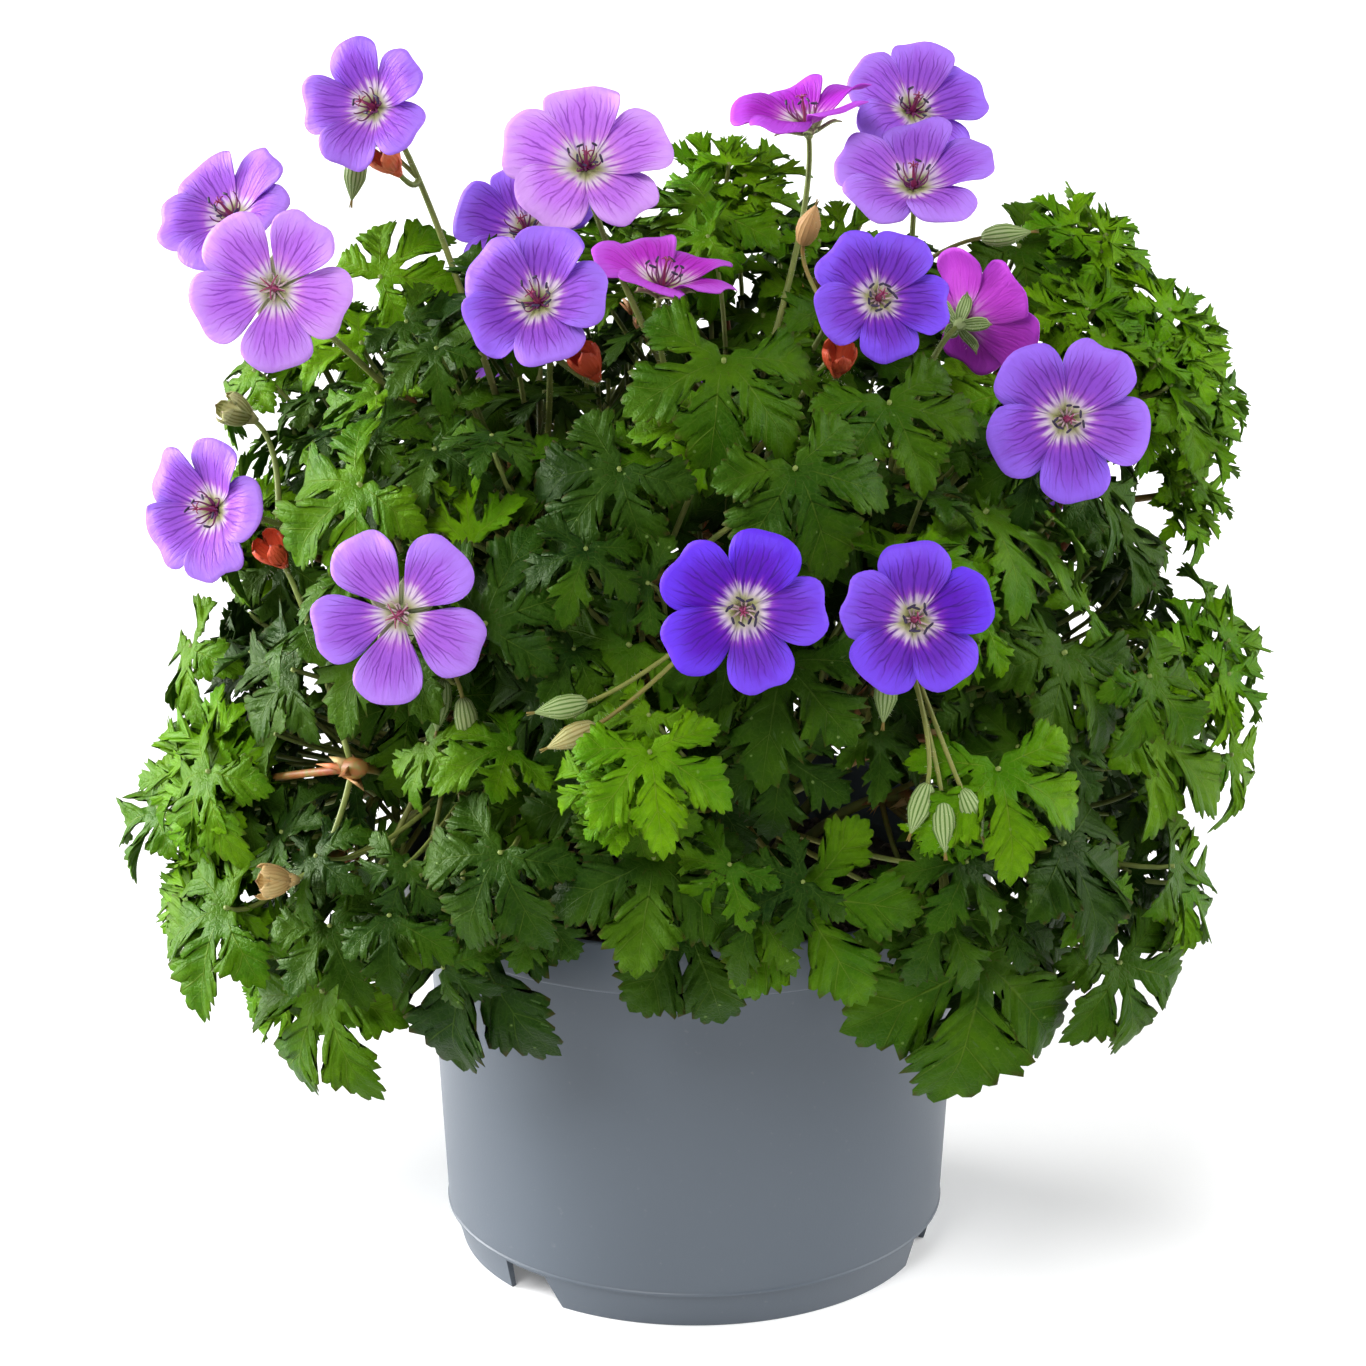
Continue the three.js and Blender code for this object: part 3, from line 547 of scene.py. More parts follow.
def ring_faces(count, sides):
    """Faces of a closed body whose points lie in rings, with its two end points after them."""
    i, j = np.meshgrid(np.arange(count - 1), np.arange(sides), indexing="ij")
    a, b = i * sides + j, i * sides + (j + 1) % sides
    quads = np.stack([a, b, b + sides, a + sides], axis=-1).reshape(-1, 4)
    k = np.arange(sides)
    last = (count - 1) * sides
    start = np.stack([(k + 1) % sides, k, np.full(sides, count * sides)], axis=1)
    end = np.stack([last + k, last + (k + 1) % sides, np.full(sides, count * sides + 1)], axis=1)
    return [quads, start, end]


def tube(line, radii, sides=8):
    """A round tube along a line, closed at both ends: points, faces and the share of its length there."""
    count = len(line)
    ways = np.gradient(line, axis=0)
    ways /= np.linalg.norm(ways, axis=1)[:, None]
    side = unit(np.cross(ways[0], [0.31, 0.87, 0.38]))
    rings = []
    angles = angles_round(sides)[:, None]
    for point, way, radius in zip(line, ways, np.broadcast_to(radii, count)):
        side = unit(side - way * np.dot(side, way))
        other = np.cross(way, side)
        rings.append(point + radius * (np.cos(angles) * side + np.sin(angles) * other))
    points = np.concatenate([*rings, line[:1], line[-1:]])
    share = np.concatenate([np.repeat(np.linspace(0, 1, count), sides), [0, 1]])
    return points, ring_faces(count, sides), share


def two_faced(points, faces, thickness, shape):
    """A thin blade from its upper surface: the same surface again below it, and a rim that joins the two.

    shape puts flat points, with their depths, into place. Returns points, faces and 1 for points underneath.
    """
    count = len(points)
    edges = {}
    for row in faces:
        for a, b in zip(row, [*row[1:], row[0]]):
            edges[a, b] = True
    rim = [(a, b) for a, b in edges if (b, a) not in edges]
    below = points - np.stack([0 * thickness, 0 * thickness, thickness], axis=1)
    every = shape(np.concatenate([points, below]))
    under = [[count + k for k in reversed(row)] for row in faces]
    walls = [(b, a, count + a, count + b) for a, b in rim]
    blocks = [[row for row in [*faces, *under] if len(row) == size] for size in (3, 4)]
    return every, [blocks[0], [*blocks[1], *walls]], np.repeat([0.0, 1.0], count)


# ---- Where everything grows ----------------------------------------------------------------------
CROWN = {"centre": np.array([0.0, 0.0, 162.0]), "across": (150.0, 142.0), "up": 172.0, "down": 92.0}
MIX = {"top": 117.0, "dip": 4.0, "lump": 0.8, "widths": (7, 9, 13), "rough": 0.6, "gap": 0.4, "rings": 26,
       "sides": 72, "crumbs": 1800}
STEMS = {"count": 18, "radius": 1.9, "depth": 11, "stand": 8, "knee": 0.45, "knee_rise": 26,
         "root": (7, 30), "highest": 84, "lowest": -10, "offset": 20, "reach": 0.76}
LEAF = {"droop": (0.16, 0.32), "skyward": 0.55, "tilt": 0.25, "turn": 60, "outward": 0.5,
        "stalk_below": 20, "stalk_from": (0.6, 0.95), "stalk_places": 5, "touch": 0.3, "tuck": 4,
        "darken": 2.4, "thickness": 0.5, "edge_thickness": 0.28}
TUFT = {"from": 0.85, "neck": 0.5, "tries": 12, "room": 0.48, "joint": 1.5}
# How each lobe of a leaf bends, as shares of the leaf's radius.
CRUMPLE = {
    "grown": {"fold": (0.16, 0.55), "twist": (-0.45, 0.45), "curl": (0.0, 0.28), "sway": (-0.08, 0.08),
              "pitch": (-0.32, 0.24)},
    "young": {"fold": (0.25, 0.65), "twist": (-0.35, 0.35), "curl": (0.0, 0.30), "sway": (-0.06, 0.06),
              "pitch": (-0.10, 0.45)},
}
SEEDED = {"candidates": 260, "highest": 89, "lowest": -14, "offset": 70, "depth": (0.92, 1.02),
          "radius": (32, 40), "spacing": 39, "rare": 2.6, "lightest": 0.7}
# The disc that stands for a leaf or flower, and how close two discs can be.
ROOM = {"radius": 0.88, "shift": 0.12, "fall": 0.4, "flower_rise": 4, "level": 0.1, "layer": 3}
# How far behind a flower's middle a leaf can still hide it, the share of its size that is added for a flower
# seen from its side, and the share of a leaf's radius that counts.
HIDING = {"behind": 4, "side_on": 0.4, "radius": 0.75}

# Flowers: centre, the way each faces (azimuth from the front, + to the right, and elevation), diameter, how
# far its top petal is turned from upright, how pink it is (0 blue-violet to 1 lilac), what its stamens look
# like, how red its calyx is, and half the width of its petals as a share of their length.
Bloom = namedtuple("Bloom", "centre face across turn pink heart red broad")
BLOOMS = [Bloom(*row) for row in (
    ((-97, 0, 369), (-25, 22), 43, -25, 0.40, "claws", 0.70, 0.42),
    ((-142, 12, 333), (-35, 44), 47, 20, 0.52, "claws", 0.20, 0.45),
    ((-124, -44, 323), (-4, 16), 50, 31, 0.86, "arms", 0.10, 0.43),
    ((-144, -46, 256), (-34, 14), 45, 12, 0.45, "claws", 0.30, 0.43),
    ((-84, -116, 245), (-6, 10), 53, -31, 0.55, "arms", 0.10, 0.385),
    ((-33, -6, 352), (4, 42), 53, 0, 0.95, "claws", 0.10, 0.44),
    ((-52, 14, 328), (-12, 40), 44, -10, 0.25, "claws", 0.20, 0.46),
    ((-46, -58, 322), (-14, 32), 46, 11, 0.36, "claws", 0.80, 0.47),
    ((-10, -40, 323), (50, 76), 46, 25, 0.85, "claws", 0.20, 0.44),
    ((34, 12, 362), (-60, 78), 46, 5, 0.40, "claws", 0.15, 0.42),
    ((68, 44, 360), (14, 42), 46, 15, 0.42, "claws", 0.20, 0.45),
    ((66, -6, 346), (-6, 60), 50, 0, 0.50, "claws", 0.20, 0.44),
    ((53, -62, 324), (8, 24), 41, 30, 0.12, "ring", 0.30, 0.46),
    ((80, -42, 313), (140, 14), 43, 20, 0.55, "claws", 0.08, 0.46),
    ((108, -70, 290), (4, 15), 51, 30, 0.34, "ring", 0.15, 0.43),
    ((13, -142, 254), (0, 12), 49, 20, 0.04, "ring", 0.05, 0.415),
    ((61, -132, 248), (5, 20), 45, 0, 0.09, "ring", 0.10, 0.45),
    ((-78, 120, 248), (208, 24), 50, 10, 0.30, "ring", 0.25, 0.44),
    ((104, 108, 226), (136, 24), 50, -20, 0.10, "arms", 0.15, 0.42),
    ((6, 150, 236), (184, 16), 50, 30, 0.50, "ring", 0.20, 0.44),
)]
# The first ones stand at the front.
FRONT_BLOOMS = 17
# The smaller leaves leave them free, and also a place on the mix, two at a joint and four before the pot
# below its rim: each place, the way it faces, and how wide the gap before it is.
FREE_PLACES = [
    ((58, 60, 116), (0, 18), 14), ((-102, -92, 189), (0, 18), 16), ((-118, -78, 184), (0, 18), 8),
    ((-44, -86, 114), (0, 18), 20), ((-10, -95, 114), (0, 18), 20), ((24, -94, 114), (0, 18), 20),
    ((54, -82, 114), (0, 18), 20),
]
# These flowers, counted from 0, have magenta petals.
MAGENTA_BLOOMS = (8, 9, 13)
# Buds: centre, the way each points, the flower whose stalk it branches from, and how red it is.
Branch = namedtuple("Branch", "centre face on red")
BUDS = [Branch(*row) for row in (
    ((-104, 10, 346), (-60, -80), 0, 0.0),
    ((94, -10, 332), (84, 8), 11, 0.05),
    ((-74, -106, 214), (-40, -78), 4, 0.1),
    ((-66, -110, 210), (60, -80), 4, 0.15),
    ((-38, -138, 224), (-80, -8), 15, 0.0),
    ((-35, -140, 216), (-84, -24), 15, 0.25),
    ((54, -122, 222), (-30, -80), 16, 0.1),
    ((70, -142, 190), (20, -80), 16, 0.0),
    ((78, -139, 193), (80, -66), 16, 0.05),
    ((63, -141, 195), (-60, -68), 16, 0.0),
    ((34, -24, 338), (30, 60), 12, 0.5),
)]
# Calyxes that have lost their petals: the foot of the sepals, and then as the buds.
CALYXES = [Branch(*row) for row in (
    ((-31, -48, 300), (-60, 58), 7, 1.0),
    ((-92, -2, 352), (-50, 50), 0, 0.8),
    ((42, -52, 302), (10, 60), 12, 0.9),
    ((-138, -14, 277), (-70, 30), 3, 0.22),
)]
# The same on stalks that grow from the joint of a tuft, counted from 0.
TUFT_CALYXES = [Branch(*row) for row in (
    ((-124, -62, 246), (-46, 52), 0, 1.0),
    ((-121, -106, 160), (-74, 4), 0, 0.34),
)]
# Leaves that stand out: centre, the way each faces, radius, the middle lobe's turn from hanging straight
# down, tone (0 dark to 1 yellow-green), and how wide its lobes are. The tone is partly the leaf's own colour
# and partly painted shade: leaves that lie in shadow low at the front are darker.
LARGE_LEAVES = [
    ((30, -132, 166), (-6, 22), 37, 27, 0.60, 0.80),
    ((86, -132, 204), (16, 36), 32, 3, 0.82, 0.80),
    ((84, -106, 136), (30, 18), 44, -12, 0.42, 1.10),
    ((108, -106, 172), (50, 40), 36, 50, 0.10, 1.05),
    ((138, -56, 192), (58, 32), 38, 24, 0.74, 0.95),
    ((146, -62, 148), (74, 16), 34, 26, 0.62, 0.80),
    ((129, -22, 246), (66, 46), 30, 20, 0.45, 0.85),
    ((162, -8, 214), (78, 40), 30, 10, 0.74, 0.85),
    ((150, 0, 280), (60, 34), 26, 34, 0.62, 0.85),
    ((128, 36, 312), (40, 52), 26, 60, 0.60, 0.85),
    ((-148, -60, 178), (-54, 30), 30, -10, 0.75, 0.85),
    ((-158, -10, 202), (-74, 24), 26, 40, 0.78, 0.80),
    ((-168, -26, 154), (-62, 30), 26, -50, 0.72, 0.80),
    ((-142, -76, 140), (-48, 34), 36, -58, 0.66, 0.85),
    ((-112, -94, 120), (-36, 16), 37, -18, 0.62, 0.80),
    ((-66, -110, 142), (-26, 16), 42, -12, 0.12, 0.95),
    ((-56, -136, 180), (-24, 26), 30, -24, 0.35, 0.90),
    ((-12, -140, 180), (0, 34), 34, -6, 0.30, 0.95),
    ((-2, -116, 150), (6, 14), 33, 16, 0.15, 1.05),
    ((-98, -82, 274), (-40, 34), 33, -34, 0.72, 0.90),
    ((-60, -122, 244), (-18, 24), 32, 168, 0.20, 0.85),
    ((-120, -72, 214), (-46, 24), 29, -80, 0.30, 0.90),
    ((-142, -14, 246), (-80, 20), 30, -20, 0.75, 0.75),
    ((-97, 6, 316), (-30, 44), 26, 150, 0.85, 0.80),
    ((-138, 16, 284), (-66, 34), 26, -40, 0.80, 0.85),
    ((-13, -152, 216), (0, 40), 28, 10, 0.88, 0.80),
    ((5, 10, 336), (10, 62), 32, -60, 0.78, 0.85),
    ((8, -86, 312), (4, 48), 35, -14, 0.52, 0.90),
    ((56, -80, 298), (16, 48), 30, 12, 0.50, 0.90),
    ((28, -116, 288), (10, 36), 31, 20, 0.42, 0.95),
    ((-22, -102, 284), (-16, 38), 30, -30, 0.22, 0.90),
    ((108, -92, 226), (40, 38), 33, -40, 0.35, 0.90),
    ((101, 24, 322), (24, 56), 29, 40, 0.58, 0.85),
    ((140, 54, 150), (110, 20), 36, 10, 0.35, 0.90),
    ((70, 128, 142), (152, 18), 38, -14, 0.45, 0.90),
    ((-6, 148, 152), (182, 24), 36, 20, 0.30, 0.95),
    ((-92, 116, 140), (218, 18), 38, 12, 0.50, 0.90),
    ((-146, 46, 148), (256, 22), 34, -20, 0.40, 0.85),
]
# A few more large leaves, at the right edge.
EDGE_LEAVES = [
    ((150, -54, 140), (50, 24), 27, 36, 0.80, 0.80),
    ((128, -86, 126), (38, 18), 30, 8, 0.45, 0.95),
    ((168, -22, 170), (58, 22), 24, 30, 0.85, 0.80),
    ((134, -84, 216), (44, 30), 25, 20, 0.55, 0.85),
]
# Smaller leaves that fill the crown between the large ones, layer by layer: how many places are tried, how
# deep the layer lies, the leaves' radius, the least distance between them, how much of each other's room they
# leave, their tone (a range and how rare the light ones are), the lowest elevation and their form. The deeper
# layers have darker tones: painted shade inside the crown.
LAYERS = [
    {"tries": 1000, "depth": (0.94, 1.05), "radius": (17, 27), "spacing": 14.5, "room": 0.58,
     "tone": (0.0, 1.0), "rare": 3.0, "lowest": -26, "form": "plain"},
    {"tries": 560, "depth": (0.78, 0.92), "radius": (23, 33), "spacing": 22, "room": 0.70,
     "tone": (0.0, 0.4), "rare": 2.0, "lowest": -16, "form": "simple"},
    {"tries": 360, "depth": (0.50, 0.74), "radius": (26, 36), "spacing": 26, "room": 0.80,
     "tone": (0.0, 0.1), "rare": 1.0, "lowest": -6, "form": "simple"},
]
# The smaller leaves start their spiral this much further round, and lie this many times less evenly.
LAYER_OFFSET = 31
UNREST = 2
# The seeded and smaller leaves are darker lower down and lighter at the top, as painted shade and painted
# light: heights, and the share of their tone that they have there.
PAINTED_HEIGHT_SHADE = ((110, 200, 300), (0.25, 0.5, 1.20))
# Smaller leaves behind this, and those of this radius or less, get the plainest form.
BACK_FROM = 50
SMALL_RADIUS = 19
# Tufts of young leaves at the ends of side shoots: centre, the way each faces, the radius of its leaves, how
# many there are, their tone, and the joint that the shoot passes through.
TUFTS = [
    ((-148, -44, 172), (-50, 30), 22, 11, 0.95, (-101, -90, 189)),
    ((-150, -50, 140), (-56, 12), 20, 10, 0.80, (-112, -62, 150)),
    ((-122, -64, 114), (-40, 0), 20, 9, 0.80, (-94, -60, 132)),
    ((-136, 0, 236), (-70, 34), 18, 8, 0.85, (-104, 0, 222)),
    ((-118, 26, 292), (-50, 48), 18, 8, 0.85, (-92, 18, 274)),
    ((157, -34, 204), (60, 24), 22, 9, 0.95, (120, -30, 198)),
    ((152, -20, 176), (64, 10), 20, 8, 0.70, (120, -24, 182)),
    ((158, 24, 244), (66, 22), 20, 8, 0.75, (126, 20, 236)),
    ((160, 22, 274), (58, 28), 20, 9, 0.95, (128, 18, 262)),
    ((146, 16, 297), (46, 40), 19, 9, 1.00, (118, 14, 282)),
    ((122, 32, 320), (34, 50), 19, 9, 1.00, (98, 24, 300)),
    ((120, 2, 302), (30, 40), 20, 8, 0.80, (98, 4, 286)),
    ((138, -4, 282), (40, 30), 20, 8, 0.75, (112, -6, 270)),
    ((-22, -150, 206), (-16, 24), 16, 7, 1.00, (-16, -122, 204)),
    ((72, -124, 184), (10, -30), 12, 6, 1.00, (70, -108, 204)),
    ((10, 36, 340), (14, 60), 20, 9, 0.95, (8, 30, 312)),
    ((-20, 20, 318), (-10, 60), 20, 8, 0.60, (-16, 16, 300)),
    ((40, 20, 318), (14, 50), 20, 8, 0.60, (36, 18, 300)),
]


def crown_point(way, depth):
    across_x, across_y = CROWN["across"]
    reach = np.array([across_x, across_y, CROWN["up"] if way[2] > 0 else CROWN["down"]])
    return CROWN["centre"] + way * reach * depth


def spiral_direction(index, count, highest, lowest, offset):
    """Directions spread evenly over the crown, from its top down to the lowest elevation."""
    top = math.sin(math.radians(highest))
    height = top - (index + 0.5) / count * (top - math.sin(math.radians(lowest)))
    return index * GOLDEN_TURN + offset, math.degrees(math.asin(height))


def crown_face(at):
    """The way a leaf lying on the crown faces: out from the crown, tipped up towards the light."""
    squares = np.array([*CROWN["across"], CROWN["up"]]) ** 2
    return unit(unit((at - CROWN["centre"]) / squares) + UP * LEAF["skyward"])


class Discs:
    """The flat discs that stand for what has grown already, when others look for room beside them."""

    def __init__(self):
        self.centres, self.normals, self.radii = [], [], []

    def add(self, disc):
        for values, value in zip((self.centres, self.normals, self.radii), disc):
            values.append(value)

    def cross(self, disc):
        """Whether any of them passes through a disc."""
        centre, normal, radius = disc
        apart = centre - np.array(self.centres)
        normals, radii = np.array(self.normals), np.array(self.radii)
        line = np.cross(normals, normal)
        length = np.linalg.norm(line, axis=1)
        level = length < ROOM["level"]
        line /= np.maximum(length, 1e-9)[:, None]
        across_a, across_b = np.cross(line, normals), np.cross(line, normal)
        with np.errstate(divide="ignore", invalid="ignore"):
            off_a = apart @ normal / (across_a @ normal)
            off_b = -np.sum(apart * normals, axis=1) / np.sum(across_b * normals, axis=1)
            between = np.linalg.norm(apart + across_b * off_b[:, None] - across_a * off_a[:, None], axis=1)
            meet = between < np.sqrt(radii**2 - off_a**2) + np.sqrt(radius**2 - off_b**2)
        meet &= (abs(off_a) <= radii) & (abs(off_b) <= radius)
        flat = abs(np.sum(apart * normals, axis=1)) < ROOM["layer"]
        near = np.linalg.norm(apart, axis=1) <= radii + radius
        return bool(np.any(near & np.where(level, flat, meet)))


def disc_in(spot, radius, shift, rise):
    return placed(np.array([0.0, shift, rise]), spot), spot[0][2], radius


def leaf_at(at, face, hang, turn, radius, droop, tone, width, form="rounded"):
    spot = blade_frame(at, face, hang, turn)
    disc = disc_in(spot, ROOM["radius"] * radius, ROOM["shift"] * radius, -ROOM["fall"] * droop * radius)
    return {"at": np.array(at, float), "spot": spot, "radius": radius, "droop": droop, "disc": disc,
            "tone": tone, "width": width, "form": form, "crumple": CRUMPLE["grown"]}


def bloom_frame(bloom):
    return blade_frame(bloom.centre, direction_at(*bloom.face), UP, -bloom.turn)


def hides_a_flower(at, radius):
    """Whether a leaf would stand before a flower or another free place, seen from the front.

    A flower that is seen from its side reaches back, so a leaf behind its middle can still stand before it.
    """
    for centre, face, size in [*(bloom[:3] for bloom in BLOOMS[:FRONT_BLOOMS]), *FREE_PLACES]:
        centre = np.array(centre, float)
        sight = unit(camera_place - centre)
        ahead = np.dot(at - centre, sight)
        beside = np.linalg.norm(at - centre - ahead * sight)
        side_on = np.linalg.norm(np.cross(direction_at(*face), sight))
        behind = HIDING["behind"] + HIDING["side_on"] * size * side_on
        if ahead > -behind and beside < size / 2 + HIDING["radius"] * radius:
            return True
    return False


def tuck_back(one):
    """Pushes a leaf back a little, away from the flower that it would touch."""
    if hides_a_flower(one["at"], LEAF["touch"] * one["radius"]):
        axes, at = one["spot"]
        back = unit(at - camera_place) * LEAF["tuck"]
        one["at"] = at + back
        one["spot"] = axes, at + back


def plan_large(leaves, draw, planned, discs):
    for at, face, radius, turn, tone, width in leaves:
        droop, dark = draw(*LEAF["droop"]), tone ** LEAF["darken"]
        planned.append(leaf_at(at, direction_at(*face), DOWN, turn, radius, droop, dark, width))
        discs.add(planned[-1]["disc"])


def drawn_lean(draw):
    return np.array([draw(-1, 1), draw(-1, 1), draw(-1, 1)])


def too_near(at, planned, spacing):
    return any(np.linalg.norm(other["at"] - at) < spacing for other in planned)


def plan_seeded(draw, planned, discs):
    """Leaves spread over the crown's surface, each where it has room beside the large ones."""
    tint = drawer(SEEDS["tints"])
    count = SEEDED["candidates"]
    for i in range(count):
        way = spiral_direction(i, count, SEEDED["highest"], SEEDED["lowest"], SEEDED["offset"])
        at = crown_point(direction_at(*way), draw(*SEEDED["depth"]))
        lean = drawn_lean(draw) * LEAF["tilt"]
        hang = direction_at(way[0], 0) * LEAF["outward"] + DOWN
        turn = draw(-LEAF["turn"], LEAF["turn"])
        radius, droop = draw(*SEEDED["radius"]), draw(*LEAF["droop"])
        # Painted shade: the tone is lower for leaves lower down.
        tone = tint(0.0, 1.0) ** SEEDED["rare"] * SEEDED["lightest"] * np.interp(at[2], *PAINTED_HEIGHT_SHADE)
        width = tint(0.85, 1.0)
        one = leaf_at(at, unit(crown_face(at) + lean), hang, turn, radius, droop, tone, width, "plain")
        if not too_near(at, planned, SEEDED["spacing"]) and not discs.cross(one["disc"]):
            planned.append(one)
            discs.add(one["disc"])


def plan_layer(layer, draw, planned, discs):
    """Smaller leaves that fill what is left of the crown at one depth."""
    count, offset = layer["tries"], SEEDED["offset"] + LAYER_OFFSET
    for i in range(count):
        way = spiral_direction(i, count, SEEDED["highest"], layer["lowest"], offset)
        at = crown_point(direction_at(*way), draw(*layer["depth"]))
        lean = drawn_lean(draw) * UNREST * LEAF["tilt"]
        hang = direction_at(way[0], 0) * LEAF["outward"] + DOWN
        turn = draw(-UNREST, UNREST) * LEAF["turn"]
        radius, droop = draw(*layer["radius"]), draw(*LEAF["droop"])
        low, high = layer["tone"]
        # Painted shade: deeper layers and lower leaves get darker tones.
        tone = (low + (high - low) * draw(0, 1) ** layer["rare"]) * np.interp(at[2], *PAINTED_HEIGHT_SHADE)
        width = draw(0.75, 1.0)
        form = layer["form"] if at[1] < BACK_FROM and radius > SMALL_RADIUS else "simple"
        one = leaf_at(at, unit(crown_face(at) + lean), hang, turn, radius, droop, tone, width, form)
        heart = disc_in(one["spot"], layer["room"] * radius, ROOM["shift"] * radius, 0)
        if too_near(at, planned, layer["spacing"]) or discs.cross(heart) or hides_a_flower(at, radius):
            continue
        planned.append(one)
        discs.add(heart)


def plan_leaves():
    """The large leaves, the seeded ones on the crown's surface, and the smaller ones between and below."""
    planned, discs = [], Discs()
    for bloom in BLOOMS:
        discs.add(disc_in(bloom_frame(bloom), bloom.across / 2, 0, ROOM["flower_rise"]))
    draw = drawer(SEEDS["leaves"])
    plan_large(LARGE_LEAVES, draw, planned, discs)
    plan_seeded(draw, planned, discs)
    for one in planned:
        tuck_back(one)
    draw = drawer(SEEDS["edge"])
    plan_large(EDGE_LEAVES, draw, planned, discs)
    for layer in LAYERS:
        plan_layer(layer, draw, planned, discs)
    return planned, discs


def plan_tuft(number, discs):
    """Young leaves spread round the end of a side shoot, each where it has room beside the other leaves."""
    centre, face, size, count, tone, joint = TUFTS[number]
    draw = drawer(SEEDS["tufts"] + number)
    centre, axis = np.array(centre, float), direction_at(*face)
    sideways = unit(np.cross(axis, [0.21, 0.32, 0.92]))
    base = centre - axis * TUFT["neck"] * size
    leaves = []
    for k in range(count):
        for _ in range(TUFT["tries"]):
            out = turned_about(sideways, axis, 360 * k / count + draw(-26, 26))
            at = centre + out * draw(0.12, 0.5) * size + axis * draw(-0.4, 0.4) * size
            facing = unit(axis * draw(0.6, 1.1) + out * draw(-0.2, 0.5) + UP * 0.2)
            radius, droop, width = size * draw(0.75, 1.15), draw(0.10, 0.28), draw(0.62, 0.80)
            turn, shade = draw(-20, 20), tone * draw(0.7, 1.1)
            one = leaf_at(at, facing, out, turn, radius, droop, shade, width, "simple")
            one["crumple"], one["root"] = CRUMPLE["young"], base
            heart = disc_in(one["spot"], TUFT["room"] * radius, 0, 0)
            if not discs.cross(heart) and not hides_a_flower(at, radius):
                leaves.append(one)
                break
    joint = np.array(joint, float)
    return {"number": number, "base": base, "centre": centre, "joint": joint, "leaves": leaves}


def plan_stems():
    stems = []
    low, high = STEMS["root"]
    for i in range(STEMS["count"]):
        way = spiral_direction(i, STEMS["count"], STEMS["highest"], STEMS["lowest"], STEMS["offset"])
        share = (STEMS["highest"] - way[1]) / (STEMS["highest"] - STEMS["lowest"])
        root = direction_at(way[0], 0) * (low + share * (high - low)) + UP * MIX["top"]
        tip = crown_point(direction_at(*way), STEMS["reach"])
        knee = root + (tip - root) * STEMS["knee"] + UP * STEMS["knee_rise"] * share
        line = through_points([root - UP * STEMS["depth"], root + UP * STEMS["stand"], knee, tip])
        name = f"leafy_stem_{i + 1:02d}"
        stems.append({"name": name, "line": line, "leaves": [], "flowers": [], "tufts": []})
    return stems


def grow_plan():
    """Each leaf and flower belongs to the stem whose tip lies nearest its own way from the crown's centre."""
    stems = plan_stems()
    tips = np.array([unit(stem["line"][-1] - CROWN["centre"]) for stem in stems])

    def stem_for(point):
        return stems[int(np.argmax(tips @ unit(point - CROWN["centre"])))]

    low, high = LEAF["stalk_from"]
    planned, discs = plan_leaves()
    for i, one in enumerate(planned):
        share = low + (high - low) * (i % LEAF["stalk_places"]) / (LEAF["stalk_places"] - 1)
        stem = stem_for(one["at"])
        one["root"] = point_at(stem["line"], share)
        stem["leaves"].append(one)
    for i, bloom in enumerate(BLOOMS):
        stem_for(np.array(bloom.centre, float))["flowers"].append(i)
    for i in range(len(TUFTS)):
        tuft = plan_tuft(i, discs)
        stem_for(tuft["centre"])["tufts"].append(tuft)
    return stems


# ---- Leaves --------------------------------------------------------------------------------------
# Each lobe's angle from the middle one, and its length.
LOBES = [(-108, 0.78), (-53, 0.95), (0, 1.0), (53, 0.95), (108, 0.78)]
# How far from the leaf's middle two lobes part, and the same for the free side of an outer lobe, after its
# angle from that lobe's midrib.
SINUS = 0.25
OUTER_SINUS = (40, 0.15)
# Half a lobe's edge from the sinus to the tip: along and across the lobe as shares of its length, and where
# on the midrib its side vein starts. Notches and teeth take turns, and every other tooth ends a side lobe.
LOBE_EDGE = [
    (0.400, 0.115, 0.20), (0.545, 0.265, 0.26), (0.585, 0.225, 0.32), (0.695, 0.390, 0.35),
    (0.725, 0.305, 0.41), (0.800, 0.345, 0.44), (0.690, 0.140, 0.52), (0.858, 0.235, 0.60),
    (0.862, 0.168, 0.68), (0.952, 0.150, 0.75), (0.932, 0.080, 0.84),
]
TIP_STATION = (len(LOBE_EDGE) + 1) / 2
# How far the sides of the teeth bulge, and the columns of points between a lobe's midrib and its edge.
FORMS = {"rounded": (0.18, (0.0, 0.5, 1.0)), "plain": (0.0, (0.0, 0.5, 1.0)), "simple": (0.0, (0.0, 1.0))}


def lobe_edge(length, bulge):
    """Half a lobe's edge, with stations that are whole numbers at its teeth. A bulge rounds the teeth."""
    stations = np.arange(1, len(LOBE_EDGE) + 1) / 2
    edge = np.column_stack([np.array(LOBE_EDGE) * length, stations])
    if bulge:
        middles = (edge[1:] + edge[:-1]) / 2
        step = edge[1:] - edge[:-1]
        middles[:, 0] -= bulge * step[:, 1]
        middles[:, 1] += bulge * step[:, 0]
        edge = np.insert(edge, np.arange(1, len(edge)), middles, axis=0)
    along, across, start, _ = edge[-1]
    shoulder = ((along + length) / 2, across / 2 + 0.012, (start + length) / 2, TIP_STATION - 0.25)
    return [*edge.tolist(), shoulder]


